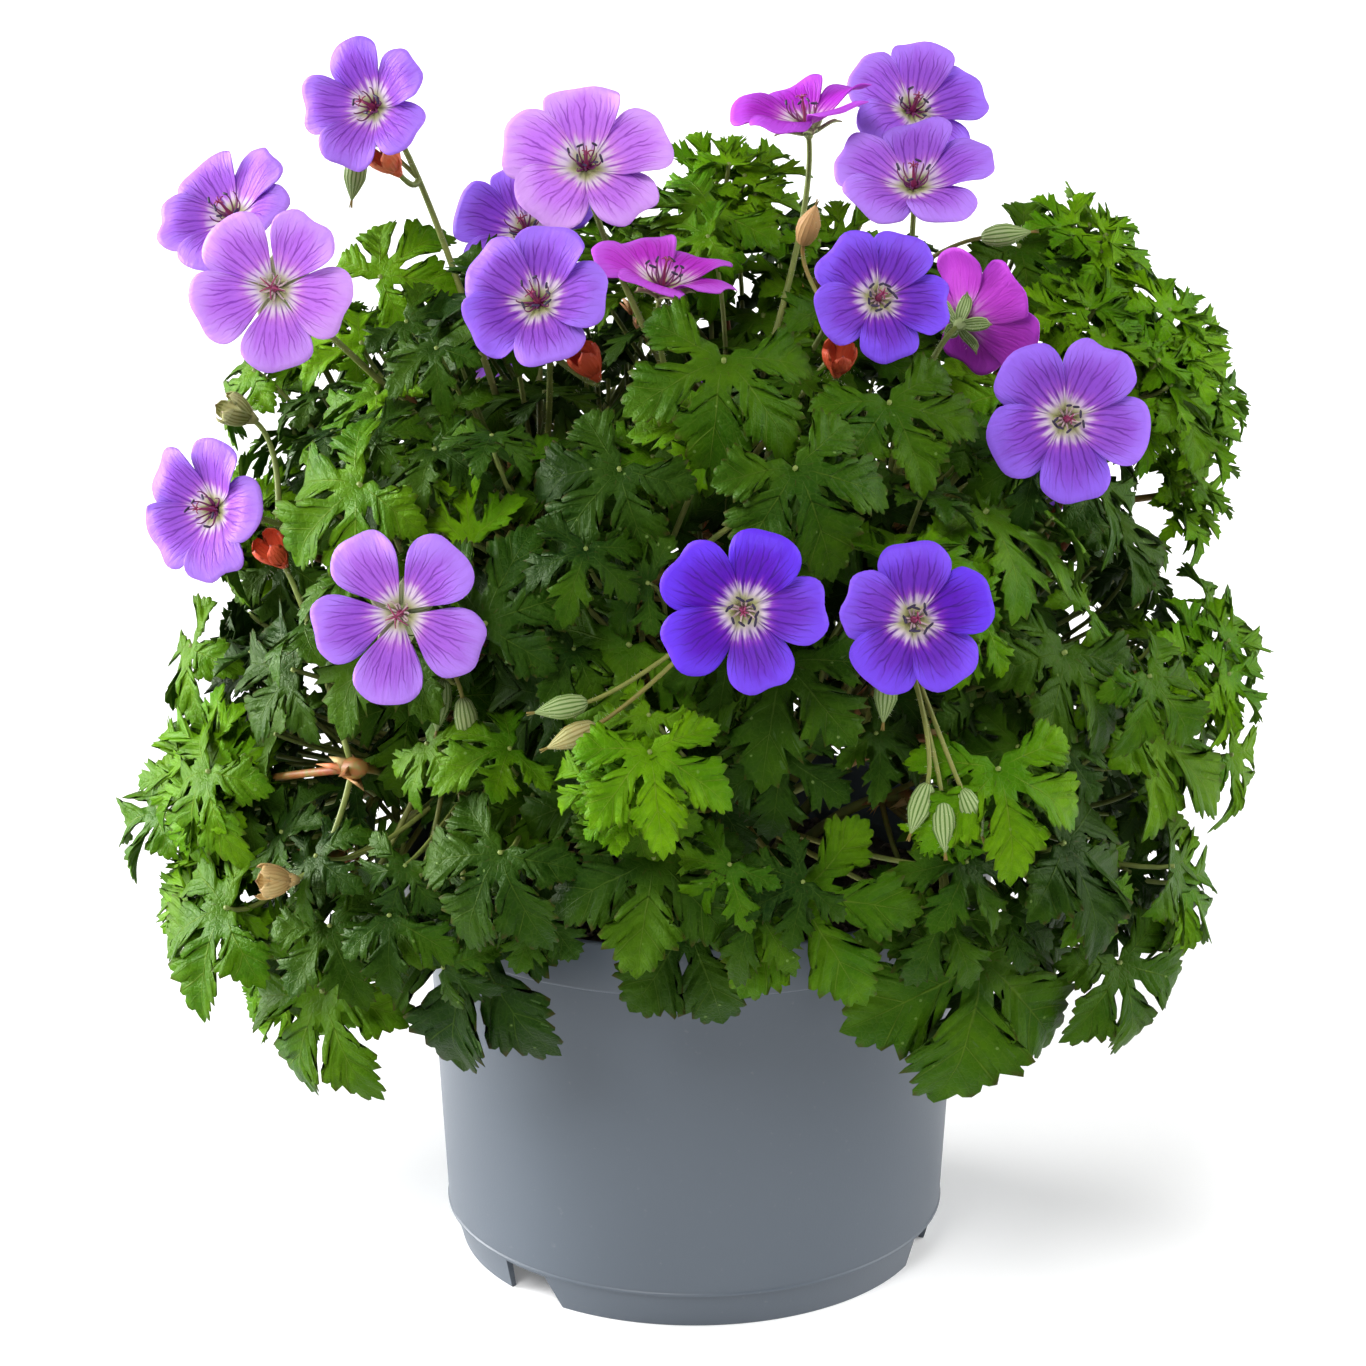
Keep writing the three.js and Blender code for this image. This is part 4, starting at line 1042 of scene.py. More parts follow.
def leaf_form(bulge, columns):
    """The flat leaf, of radius 1: faces, blade coordinates, and each point's lobe and place in it."""
    faces, blade, lobe_place, known = [], [], [], {}

    def put(lobe, angle, side, along, across, station, share):
        """The number of the point here, which neighbouring lobes share where they meet."""
        turn = math.radians(angle)
        x = math.sin(turn) * along + side * math.cos(turn) * across
        y = math.cos(turn) * along - side * math.sin(turn) * across
        key = (round(x, 4), round(y, 4))
        if key not in known:
            known[key] = len(blade)
            blade.append((station, share))
            lobe_place.append((lobe, along, side * across))
        return known[key]

    for lobe, (angle, length) in enumerate(LOBES):
        for side in (-1, 1):
            outer = lobe + side not in range(len(LOBES))
            turn, reach = OUTER_SINUS if outer else (abs(LOBES[lobe + side][0] - angle) / 2, SINUS)
            turn = math.radians(turn)
            seam = [(share * reach * math.cos(turn), share * reach * math.sin(turn),
                     share * 0.16 * length, share / 2 - 0.25) for share in (0.5, 1.0)]
            rows = [[put(lobe, angle, side, 0, 0, 0.0, 0.0)] * len(columns)]
            for along, across, start, station in [*seam, *lobe_edge(length, bulge)]:
                row = []
                for share in columns:
                    sag = 0.03 * share * (1 - share) * length
                    out = start + (along - start) * share - sag
                    row.append(put(lobe, angle, side, out, across * share, station, share))
                rows.append(row)
            rows.append([put(lobe, angle, side, length, 0, TIP_STATION, 0.0)] * len(columns))
            for near, far in zip(rows, rows[1:]):
                for k in range(len(columns) - 1):
                    ring = [near[k], near[k + 1], far[k + 1], far[k]]
                    ring = [p for j, p in enumerate(ring) if p != ring[j - 1]]
                    if len(ring) > 2:
                        faces.append(ring if side < 0 else ring[::-1])
    return faces, np.array(blade), np.array(lobe_place)


LEAF_FORMS = {name: leaf_form(*form) for name, form in FORMS.items()}
HAIR_RADIUS = 0.055
HAIR_ANGLES = (0, 2.094, 4.189)


def add_leaf(piece, one, draw):
    """A leaf blade: its lobes fold, pitch and twist each its own way, and it is quilted between its veins."""
    faces, blade, lobe_place = LEAF_FORMS[one["form"]]
    lobe, along, across = lobe_place.T
    lobe = lobe.astype(int)
    crumples = [np.array([draw(*span) for _ in LOBES])[lobe] for span in one["crumple"].values()]
    fold, twist, curl, sway, pitch = crumples
    phase, ripple, saddle = draw(0, 6.3), draw(0.015, 0.035), draw(-0.25, 0.25)
    free = smooth(along, 0.18, 0.5)
    width = 1 + (one["width"] - 1) * free
    angles = np.radians([angle for angle, _ in LOBES])[lobe]
    across_now = across * width + sway * free * along
    x = np.sin(angles) * along + np.cos(angles) * across_now
    y = np.cos(angles) * along - np.sin(angles) * across_now
    far = np.hypot(x, y)
    swell = 0.012 * np.cos(2 * np.pi * blade[:, 0]) + 0.018 * np.cos(np.pi * blade[:, 0])
    quilt = swell * np.sin(np.pi * np.minimum(blade[:, 1], 0.999))
    z = -one["droop"] * far**2 + fold * abs(across) * free - curl * smooth(along, 0.55, 1.0) ** 2
    z += pitch * np.maximum(along - 0.2, 0) ** 1.3 + saddle * x * y + twist * across * free * along
    z += ripple * np.sin(9 * along + 5 * np.sign(across) + phase + 2 * lobe) * abs(across) * 4
    z -= 0.05 * (1 - smooth(far, 0.0, 0.18)) + quilt * free
    shaped = np.stack([x, y, z], axis=1) * one["radius"]
    thickness = np.where(blade[:, 1] > 0.9, LEAF["edge_thickness"], LEAF["thickness"])
    points, blocks, under = two_faced(shaped, faces, thickness, lambda every: placed(every, one["spot"]))
    share = np.array([draw(-0.07, 0.10) for _ in LOBES])[lobe] * smooth(far, 0.1, 0.4)
    tone = np.clip(one["tone"] + np.tile(0.08 * far + share, 2), 0, 1)
    piece.add(points, blocks, "leaf", np.tile(blade, (2, 1)), tone, under)


def add_stalk(piece, line, radii, red, finish="stalk", sides=8):
    points, faces, share = tube(line, radii, sides)
    piece.add(points, faces, finish, tone=red if np.isscalar(red) else np.interp(share, *red))


def add_hairs(piece, line, radius, count, length, draw):
    """Fine hairs that stand out from a stalk."""
    for _ in range(count):
        share = draw(0.02, 0.98)
        at = point_at(line, share)
        way = unit(point_at(line, min(share + 0.02, 1)) - point_at(line, max(share - 0.02, 0)))
        out = turned_about(unit(np.cross(way, [0.4, 0.2, 0.9])), way, draw(0, 360))
        add_hair(piece, at + out * radius * 0.8, unit(out + way * draw(-0.2, 0.4)), draw(*length))


def add_hair(piece, foot, way, length):
    side = unit(np.cross(way, [0.36, 0.48, 0.8]))
    other = np.cross(way, side)
    ring = [foot + HAIR_RADIUS * (math.cos(a) * side + math.sin(a) * other) for a in HAIR_ANGLES]
    tip = foot + way * length
    piece.add(np.array([*ring, tip]), np.array([[0, 1, 3], [1, 2, 3], [2, 0, 3], [2, 1, 0]]), "hair")


# ---- Flowers -------------------------------------------------------------------------------------
PETALS = 5
FIFTH = 360 / PETALS
PETAL = {"rows": 12, "columns": 16, "claw": 1.6, "bow": 0.30, "rise": 6.2, "tip_rise": 6.8, "roll": 0.11,
         "thickness": 0.35}
CALYX = {"reach": 10.0, "below": 1.8, "closed": 0.85, "rows": 8, "columns": 4, "thickness": 0.4, "hairs": 9}
FLOWER_STALK = {"from": 0.82, "straight": 26, "hairs": 170}
BUD = {"radius": 3.3, "length": 15, "straight": 12, "sink": 2, "fork": 0.62, "rows": 14, "sides": 30,
       "ribs": 15, "rib_height": 0.07, "hairs": 90}
# Places along a bud, and the share of its radius that it has there.
BUD_SWELL = ([0, 0.08, 0.3, 0.55, 0.8, 0.93, 1.0], [0.35, 0.72, 1.0, 0.98, 0.55, 0.25, 0.10])


def blade_places(rows, columns):
    """Places in a grid, from 0 to 1 along a blade and from -1 to 1 across it."""
    return np.meshgrid(np.linspace(0, 1, rows + 1), np.linspace(-1, 1, columns + 1), indexing="ij")


def petal_grid(length, broad, waist, draw):
    """A petal's points in its own frame, from its claw to its rounded end, and its blade coordinates.

    Each row is an arc whose sides lag behind its middle, more and more towards the end, so that the last
    one is the rounded end itself.
    """
    u, w = blade_places(PETAL["rows"], PETAL["columns"])
    turn = w * math.pi / 2
    bow = PETAL["bow"] * smooth(u, 0.05, 1.0)
    claw = PETAL["claw"] / length
    reach = claw + (1 - claw) * u
    widening = np.clip((reach - bow) / (1 - PETAL["bow"]), 0, 1) ** waist
    x = length * broad * np.sin(math.pi / 2 * widening) * np.sin(turn)
    dent = draw(0.0, 0.08) * np.exp(-((w + draw(-0.15, 0.15)) / 0.26) ** 2) * smooth(u, 0.7, 1.0)
    dent += draw(0.006, 0.018) * np.sin(draw(6, 9) * w + draw(0, 6.3)) * smooth(u, 0.6, 1.0)
    y = length * (reach - bow * (1 - np.cos(turn)) - dent)
    far = np.hypot(x, y) / length
    z = PETAL["rise"] * smooth(far, 0.02, 0.80) + (PETAL["tip_rise"] - PETAL["rise"]) * far
    z -= draw(0.2, 2.2) * smooth(far, 0.72, 1.05)
    z += 0.05 * x + draw(0.3, 1.1) * np.sin(3.0 * w + draw(0, 6.3)) * smooth(u, 0.35, 1.0)
    z += draw(0.2, 0.5) * np.sin(draw(6, 8) * w + draw(0, 6.3)) * smooth(u, 0.55, 1.0)
    z += draw(-0.8, 1.0) * np.sin(turn) ** 2 * smooth(u, 0.3, 0.9)
    return np.stack([x, y, z], axis=-1).reshape(-1, 3), np.stack([u, w], axis=-1).reshape(-1, 2)


def grid_faces(rows, columns):
    i, j = np.meshgrid(np.arange(rows), np.arange(columns), indexing="ij")
    a = i * (columns + 1) + j
    return np.stack([a, a + 1, a + columns + 2, a + columns + 1], axis=-1).reshape(-1, 4)


def make_petals(i, finishes):
    """Five petals on one flower. Each lies over the next at one edge."""
    bloom = BLOOMS[i]
    spot = bloom_frame(bloom)
    draw = drawer(SEEDS["petals"] + i)
    piece = Piece(f"bloom_{i + 1:02d}_petals_fine", finishes)
    length = bloom.across / 2
    waist = 1.35 if bloom.heart == "arms" else 1.05
    finish = "magenta_petal" if i in MAGENTA_BLOOMS else "violet_petal"
    faces = grid_faces(PETAL["rows"], PETAL["columns"]).tolist()
    for k in range(PETALS):
        points, blade = petal_grid(length * draw(0.96, 1.04), bloom.broad * draw(0.95, 1.05), waist, draw)
        turn = turn_flat(math.radians(-FIFTH * k + draw(-3, 3)))
        points[:, 2] += PETAL["roll"] * points[:, 0] * smooth(blade[:, 0], 0.2, 0.7)
        thick = np.full(len(points), PETAL["thickness"])
        every, blocks, under = two_faced(points, faces, thick, lambda flat: placed(flat @ turn, spot))
        tone = np.clip(bloom.pink + draw(-0.08, 0.08), 0, 1)
        piece.add(every, blocks, finish, np.tile(blade, (2, 1)), tone, under)
    piece.make(f"bloom_{i + 1:02d}_petals", slot="violet_petals")


def spindle(piece, start, end, radius, finish, profile, sides=7, tone=0.0):
    """A closed body of revolution between two points, with radii as shares along it."""
    shares, radii = np.array(profile).T
    line = start + (end - start) * shares[:, None]
    points, faces, share = tube(line, radii * radius, sides)
    blade = np.stack([share, np.zeros(len(share))], axis=1)
    piece.add(points, faces, finish, blade, tone)


ANTHER = [(0, 0.3), (0.15, 0.9), (0.5, 1.0), (0.85, 0.9), (1, 0.3)]
STYLE_HEIGHT = 8.0
STAMENS = 10
# How far the style's arms reach and where they end above it, how far the stamens reach and how high they
# stand, the finish of their filaments, and the share of them that still have an anther.
HEARTS = {
    "ring": {"arm": (1.2, 1.8), "drop": 0.6, "reach": (2.8, 4.4), "top": (4.4, 6.2),
             "filament": "filament", "anthers": 0.95},
    "claws": {"arm": (1.4, 2.2), "drop": 0.4, "reach": (3.0, 5.6), "top": (5.0, 7.4),
              "filament": "red_filament", "anthers": 0.45},
    "arms": {"arm": (3.2, 4.4), "drop": -0.6, "reach": (2.6, 4.4), "top": (3.0, 5.0),
             "filament": "filament", "anthers": 0.0},
}


def make_stamens(i, finishes):
    """A style with five recurved arms, and ten stamens round it. Some of them still have dark anthers."""
    bloom = BLOOMS[i]
    spot = bloom_frame(bloom)
    draw = drawer(SEEDS["stamens"] + i)
    piece = Piece(f"bloom_{i + 1:02d}_stamens_fine", finishes)
    heart = HEARTS[bloom.heart]
    height = STYLE_HEIGHT
    line = np.linspace([0, 0, -0.6], [0, 0, height], 8)
    radii = np.interp(np.linspace(0, 1, 8), [0, 0.25, 0.5, 1], [1.2, 0.9, 0.5, 0.36])
    points, faces, _ = tube(placed(line, spot), radii, 8)
    piece.add(points, faces, "style")
    for k in range(PETALS):
        angle = math.radians(FIFTH * k + draw(-12, 12))
        out = np.array([math.sin(angle), math.cos(angle), 0])
        reach = draw(*heart["arm"])
        arm = bend(UP * (height - 0.6), UP * (height + 1.6) + out * reach * 0.35,
                   UP * (height + heart["drop"]) + out * reach, 7)
        points, faces, _ = tube(placed(arm, spot), np.linspace(0.28, 0.18, 7), 6)
        piece.add(points, faces, "style")
    for k in range(STAMENS):
        angle = math.radians(360 / STAMENS * k + draw(-8, 8))
        out = np.array([math.sin(angle), math.cos(angle), 0])
        side = np.array([math.cos(angle), -math.sin(angle), 0])
        reach, top = draw(*heart["reach"]), draw(*heart["top"])
        end = out * reach + side * draw(-0.8, 0.8) + UP * top
        filament = bend(out * 1.0 + UP * 0.3, out * (reach * 1.15) + UP * top * 0.45, end, 8)
        points, faces, _ = tube(placed(filament, spot), np.linspace(0.36, 0.15, 8), 6)
        piece.add(points, faces, heart["filament"])
        if draw(0, 1) < heart["anthers"]:
            tilt = unit(side * draw(0.4, 1) * (-1) ** k + out * draw(-0.5, 0.6) + UP * draw(-0.2, 0.6))
            middle = placed(end + UP * 0.2, spot)
            along = tilt @ spot[0] * draw(1.0, 1.5)
            spindle(piece, middle - along, middle + along, 0.40, "anther", ANTHER)
    piece.make(f"bloom_{i + 1:02d}_stamens", slot="stamens")


def add_sepals(piece, spot, red, draw, closed=0.0):
    """Five pointed sepals, each cupped, ribbed and ending in a fine awn. Closed, they stand up in a cup."""
    u, w = blade_places(CALYX["rows"], CALYX["columns"])
    faces = grid_faces(CALYX["rows"], CALYX["columns"]).tolist()
    for k in range(PETALS):
        reach = CALYX["reach"] * draw(0.94, 1.06)
        half = (2.3 + closed) * np.sin(np.pi * np.clip(u * 0.86 + 0.12, 0, 1)) ** 0.8
        half *= 1 - 0.9 * smooth(u, 0.72, 1.0)
        x, y = w * half, 0.9 + reach * (u * (1 - closed) + closed * 0.42 * np.sin(2.6 * u))
        z = -CALYX["below"] - 0.5 + 2.4 * smooth(u, 0, 0.8) - 0.8 * smooth(u, 0.75, 1) + closed * reach * u
        z -= 0.9 * w**2 * (1 - u) * (1 - closed)
        y = y - closed * 1.1 * w**2 * np.sin(np.pi * u)
        flat = np.stack([x, y, z], axis=-1).reshape(-1, 3)
        turn = turn_flat(math.radians(-FIFTH * k - FIFTH / 2 + draw(-4, 4)))
        thick = np.full(len(flat), CALYX["thickness"])
        points, blocks, under = two_faced(flat, faces, thick, lambda every: placed(every @ turn, spot))
        blade = np.tile(np.stack([u, w], axis=-1).reshape(-1, 2), (2, 1))
        piece.add(points, blocks, "sepal", blade, red, under)
        for _ in range(CALYX["hairs"]):
            foot = placed(np.array([draw(-1.8, 1.8), draw(2, 8), -CALYX["below"] - 0.6]) @ turn, spot)
            add_hair(piece, foot, unit(DOWN @ spot[0] + 0.4 * (turn[1] @ spot[0])), draw(0.7, 1.2))


def add_receptacle(piece, spot, red):
    """The swollen end of the flower stalk, under the sepals."""
    base = placed(np.array([0, 0, -CALYX["below"] - 3.2]), spot)
    top = placed(np.array([0, 0, -CALYX["below"] + 0.8]), spot)
    profile = [(0, 0.45), (0.3, 0.7), (0.65, 1.0), (0.9, 0.9), (1, 0.5)]
    spindle(piece, base, top, 2.3, "sepal", profile, 10, red)


def add_calyx(piece, calyx, start, draw):
    """A calyx whose sepals have closed again after its petals fell, on a hairy stalk of its own."""
    out = direction_at(*calyx.face)
    spot = blade_frame(calyx.centre, out, UP, 0)
    end = np.array(calyx.centre, float) - out * CALYX["below"]
    line = bend(start, end - out * BUD["straight"], end, 16)
    add_stalk(piece, line, np.linspace(1.0, 0.8, len(line)), ([0, 0.8, 1], [0.1, 0.05, calyx.red * 0.6]))
    add_hairs(piece, line, 0.8, 60, (0.8, 1.3), draw)
    add_receptacle(piece, spot, calyx.red)
    add_sepals(piece, spot, calyx.red, draw, CALYX["closed"])


def add_bud(piece, bud, stalk_line, draw):
    """A bud wrapped in five ribbed sepals that end in awns, on a short hairy stalk of its own."""
    out = direction_at(*bud.face)
    centre = np.array(bud.centre, float)
    length, radius = BUD["length"], BUD["radius"]
    end = centre + out * (BUD["sink"] - length / 2)
    line = bend(point_at(stalk_line, BUD["fork"]), end - out * BUD["straight"], end, 12)
    add_stalk(piece, line, np.linspace(0.75, 0.65, len(line)), ([0, 1], [0.2, 0.2 + bud.red]))
    add_hairs(piece, line, 0.7, 26, (0.8, 1.3), draw)
    side = unit(np.cross(out, [0.2, 0.9, 0.35]))
    rows, sides = BUD["rows"], BUD["sides"]
    share = np.linspace(0, 1, rows)
    angles = angles_round(sides)
    ribs = 1 + BUD["rib_height"] * np.cos(BUD["ribs"] * angles)[None, :] * np.sin(math.pi * share)[:, None]
    ring = radius * np.interp(share, *BUD_SWELL)[:, None] * ribs
    other = np.cross(out, side)
    around = np.cos(angles)[:, None] * side + np.sin(angles)[:, None] * other
    axis = centre + out * ((share - 0.5) * length)[:, None]
    points = (axis[:, None, :] + ring[:, :, None] * around[None]).reshape(-1, 3)
    points = np.concatenate([points, axis[:1], axis[-1:] + out * 0.4])
    blade = np.stack([np.repeat(share, sides) * 0.8, np.tile(np.arange(sides) * 6.0 / sides, rows)], axis=1)
    blade = np.concatenate([blade, [[0, 0], [0.8, 0]]])
    piece.add(points, ring_faces(rows, sides), "sepal", blade, bud.red, 1.0)
    tip = centre + out * length / 2
    for k in range(PETALS):
        way = unit(out + 0.22 * (math.cos(1.257 * k) * side + math.sin(1.257 * k) * other))
        awn = np.linspace(tip - out * 1.2, tip + way * 2.4, 4)
        add_stalk(piece, awn, np.linspace(0.3, 0.1, 4), 0.5, sides=5)
    for _ in range(BUD["hairs"]):
        share = draw(0.05, 0.9)
        turn = draw(0, 2 * math.pi)
        away = math.cos(turn) * side + math.sin(turn) * other
        swell = float(np.interp(share, [0, 0.3, 0.6, 1], [0.5, 1, 0.9, 0.2]))
        foot = centre + out * ((share - 0.5) * length) + away * radius * swell * 0.95
        add_hair(piece, foot, unit(away + out * 0.4), draw(0.6, 1.1))


# ---- Leafy stems ---------------------------------------------------------------------------------
# Points along a leaf's stalk and round it: of a leaf of the plainest form, and of the others.
PLAINEST_STALK = (8, 5)
LEAF_STALK = (11, 6)
# A joint: places along it with the share of its radius that it has there, and its dry scales.
SWOLLEN = [(0, 0.5), (0.25, 0.85), (0.5, 1.0), (0.75, 0.8), (1, 0.45)]
SCALES = 7
SCALE_FACES = np.array([[0, 1, 2], [0, 3, 1], [1, 3, 2], [3, 0, 2]])


def flower_stalk_line(bloom, stem):
    out = direction_at(*bloom.face)
    end = np.array(bloom.centre, float) - out * CALYX["below"]
    return bend(point_at(stem["line"], FLOWER_STALK["from"]), end - out * FLOWER_STALK["straight"], end, 24)


def add_joint(piece, at, way, draw, size=1.0):
    """A swollen joint on a stem, wrapped in small dry scales."""
    spindle(piece, at - way * 4.2 * size, at + way * 4.2 * size, 2.4 * size, "stalk", SWOLLEN, 10, 0.8)
    for _ in range(SCALES):
        out = turned_about(unit(np.cross(way, [0.4, 0.2, 0.9])), way, draw(0, 360))
        lengthwise = draw(-1.0, 1.0)
        base = at + (out * 1.7 + way * lengthwise * 2.0) * size
        tip = base + unit(out * 0.8 + way * math.copysign(draw(0.5, 1.4), lengthwise)) * draw(3.6, 6.2) * size
        side = unit(np.cross(out, way)) * draw(1.0, 1.7) * size
        points = np.array([base - side, base + side, tip, base + out * 0.8 * size])
        piece.add(points, SCALE_FACES, "sepal", tone=draw(0.3, 0.75))


def add_stalked_leaf(piece, one, below, draw):
    """A leaf and its stalk, which reaches the blade from below."""
    add_leaf(piece, one, draw)
    face = one["spot"][0][2]
    steps, sides = PLAINEST_STALK if one["form"] == "simple" else LEAF_STALK
    stalk = bend(one["root"], one["at"] - face * below, one["at"] - face * 0.3, steps)
    thick = 0.75 + one["radius"] / 120
    radii = np.linspace(thick, thick * 0.72, steps)
    add_stalk(piece, stalk, radii, ([0, 0.3, 1], [0.55, 0.15, 0.05]), sides=sides)


def add_tuft(piece, stem, tuft, draw):
    """A side shoot, reddest at its joint, that ends in a tuft of young leaves."""
    line = through_points([point_at(stem["line"], TUFT["from"]), tuft["joint"], tuft["base"]], 24)
    add_stalk(piece, line, np.linspace(1.5, 1.1, len(line)), ([0, 0.35, 0.55, 1], [0.1, 0.2, 1.0, 0.5]))
    add_joint(piece, tuft["joint"], unit(tuft["base"] - tuft["joint"]), draw, TUFT["joint"])
    for one in tuft["leaves"]:
        add_stalked_leaf(piece, one, one["radius"] * 0.4, draw)
    for calyx in TUFT_CALYXES:
        if calyx.on == tuft["number"]:
            add_calyx(piece, calyx, tuft["joint"], draw)


def make_leafy_stem(stem, number, finishes):
    """A stem with its joints, leaves, side shoots, and the stalks, calyxes and buds of its flowers."""
    draw = drawer(SEEDS["stems"] + number)
    piece = Piece(f"{stem['name']}_fine", finishes)
    line = stem["line"][::6]
    flush = draw(0.1, 0.7)
    radii = np.linspace(STEMS["radius"] + 0.15, 1.35, len(line))
    add_stalk(piece, line, radii, ([0, 0.4, 1], [flush, flush * 0.6, 0.2]))
    for share in np.linspace(*LEAF["stalk_from"], LEAF["stalk_places"]):
        at = point_at(stem["line"], share)
        way = unit(point_at(stem["line"], min(share + 0.03, 1)) - point_at(stem["line"], share - 0.03))
        add_joint(piece, at, way, draw)
    for one in stem["leaves"]:
        add_stalked_leaf(piece, one, LEAF["stalk_below"], draw)
    for tuft in stem["tufts"]:
        add_tuft(piece, stem, tuft, draw)
    for i in stem["flowers"]:
        bloom = BLOOMS[i]
        stalk = flower_stalk_line(bloom, stem)
        add_stalk(piece, stalk, np.linspace(1.15, 0.8, len(stalk)), ([0, 0.75, 1], [0.25, 0.05, bloom.red]))
        add_hairs(piece, stalk, 0.95, FLOWER_STALK["hairs"], (0.7, 1.3), draw)
        spot = bloom_frame(bloom)
        add_receptacle(piece, spot, bloom.red)
        add_sepals(piece, spot, bloom.red, draw)
        for bud in BUDS:
            if bud.on == i:
                add_bud(piece, bud, stalk, draw)
        for calyx in CALYXES:
            if calyx.on == i:
                add_calyx(piece, calyx, point_at(stalk, BUD["fork"]), draw)
    piece.make(stem["name"], slot="green_plant")


# ---- Pot and potting mix -------------------------------------------------------------------------
POT = {"lip_radius": 95, "lip_height": 16, "height": 134, "lip_wall": 2, "lip_draft": 0.4, "top_radius": 85.8,
       "bottom_radius": 80.4, "wall": 1.9, "skirt_height": 12.4, "skirt_top": 79.2, "foot_radius": 76,
       "foot_wall": 1.8, "step": 0.4, "seam": 0.35, "floor": 1.6, "sides": 160,
       "notches": (-43, 70, 193), "notch_width": 17, "notch_flare": 5, "notch_top": 10.6, "notch_depth": 12,
       "drains": 4, "drain_radius": 6, "drain_circle": 50}
LIP_UNDER = POT["height"] - POT["lip_height"]


def pot_inner_radius(z):
    share = (z - POT["skirt_height"]) / (LIP_UNDER - POT["skirt_height"])
    return POT["bottom_radius"] - POT["wall"] + share * (POT["top_radius"] - POT["bottom_radius"])


def softened(profile, size):
    """A profile with each named corner cut back by a small arc. Corners with size 0 stay sharp."""
    soft = []
    count = len(profile)
    for i, (point, round_by) in enumerate(zip(profile, size)):
        point = np.array(point, float)
        if not round_by:
            soft.append(point)
            continue
        before, after = np.array(profile[i - 1], float), np.array(profile[(i + 1) % count], float)
        a = point + unit(before - point) * round_by
        b = point + unit(after - point) * round_by
        soft += list(bend(a, point, b, 5))
    return soft


def pot_profile():
    inside, floor_under = POT["foot_radius"] - POT["foot_wall"], POT["skirt_height"] - POT["floor"]
    lip, draft, wall = POT["lip_radius"], POT["lip_draft"], POT["lip_wall"]
    corners = [
        ((0, floor_under), 0), ((POT["foot_radius"], floor_under - POT["foot_wall"]), 0), ((inside, 0), 0.3),
        ((POT["foot_radius"], 0), 0.5), ((POT["skirt_top"], POT["skirt_height"] - POT["step"]), 0.3),
        ((POT["bottom_radius"] + POT["seam"], POT["skirt_height"] - 0.1), 0.15),
        ((POT["bottom_radius"] + POT["seam"], POT["skirt_height"] + 0.5), 0.15),
        ((POT["bottom_radius"], POT["skirt_height"] + 0.9), 0), ((POT["top_radius"], LIP_UNDER - 1), 0),
        ((lip - draft, LIP_UNDER), 0.9), ((lip, POT["height"]), 0.9), ((lip - wall, POT["height"]), 0.8),
        ((lip - wall - draft, LIP_UNDER + wall), 0.8), ((pot_inner_radius(LIP_UNDER), LIP_UNDER), 0.6),
        ((pot_inner_radius(POT["skirt_height"]), POT["skirt_height"]), 1.2), ((0, POT["skirt_height"]), 0)]
    profile, size = zip(*corners)
    return softened(profile, size)


def lathe_mesh(name, profile, sides):
    """A body turned from a profile that starts and ends on the axis."""
    mesh = bmesh.new()
    rings = []
    angles = [2 * math.pi * k / sides for k in range(sides)]
    for radius, z in profile:
        if radius == 0:
            rings.append([mesh.verts.new((0, 0, z * MM))])
            continue
        circle = [(radius * MM * math.cos(a), radius * MM * math.sin(a), z * MM) for a in angles]
        rings.append([mesh.verts.new(point) for point in circle])
    for low, high in zip(rings, rings[1:]):
        for k in range(sides):
            after = (k + 1) % sides
            ring = [low[k % len(low)], low[after % len(low)], high[after % len(high)], high[k % len(high)]]
            corners = list(dict.fromkeys(ring))
            if len(corners) > 2:
                mesh.faces.new(corners)
    bmesh.ops.recalc_face_normals(mesh, faces=mesh.faces)
    made = bpy.data.meshes.new(name)
    mesh.to_mesh(made)
    mesh.free()
    thing = bpy.data.objects.new(name, made)
    bpy.context.scene.collection.objects.link(thing)
    return thing


def prism(outline, low, high, place):
    """A closed block from an outline in x and z, between two depths in y, put in place."""
    count = len(outline)
    mesh = bpy.data.meshes.new("cutter")
    points = [place @ Vector((x, y, z)) * MM for y in (low, high) for x, z in outline]
    sides = [((k + 1) % count, k, count + k, count + (k + 1) % count) for k in range(count)]
    mesh.from_pydata(points, [], [list(range(count)), list(range(count, 2 * count))[::-1], *sides])
    thing = bpy.data.objects.new("cutter", mesh)
    bpy.context.scene.collection.objects.link(thing)
    return thing


def cut(body, cutters):
    """Cuts each cutter out of a body and throws the cutters away."""
    for cutter in cutters:
        modifier = body.modifiers.new("cut", "BOOLEAN")
        modifier.operation = "DIFFERENCE"
        modifier.solver = "EXACT"
        modifier.object = cutter
    bpy.context.view_layer.update()
    graph = bpy.context.evaluated_depsgraph_get()
    result = bpy.data.meshes.new_from_object(body.evaluated_get(graph))
    body.modifiers.clear()
    body.data = result
    for cutter in cutters:
        bpy.data.objects.remove(cutter)


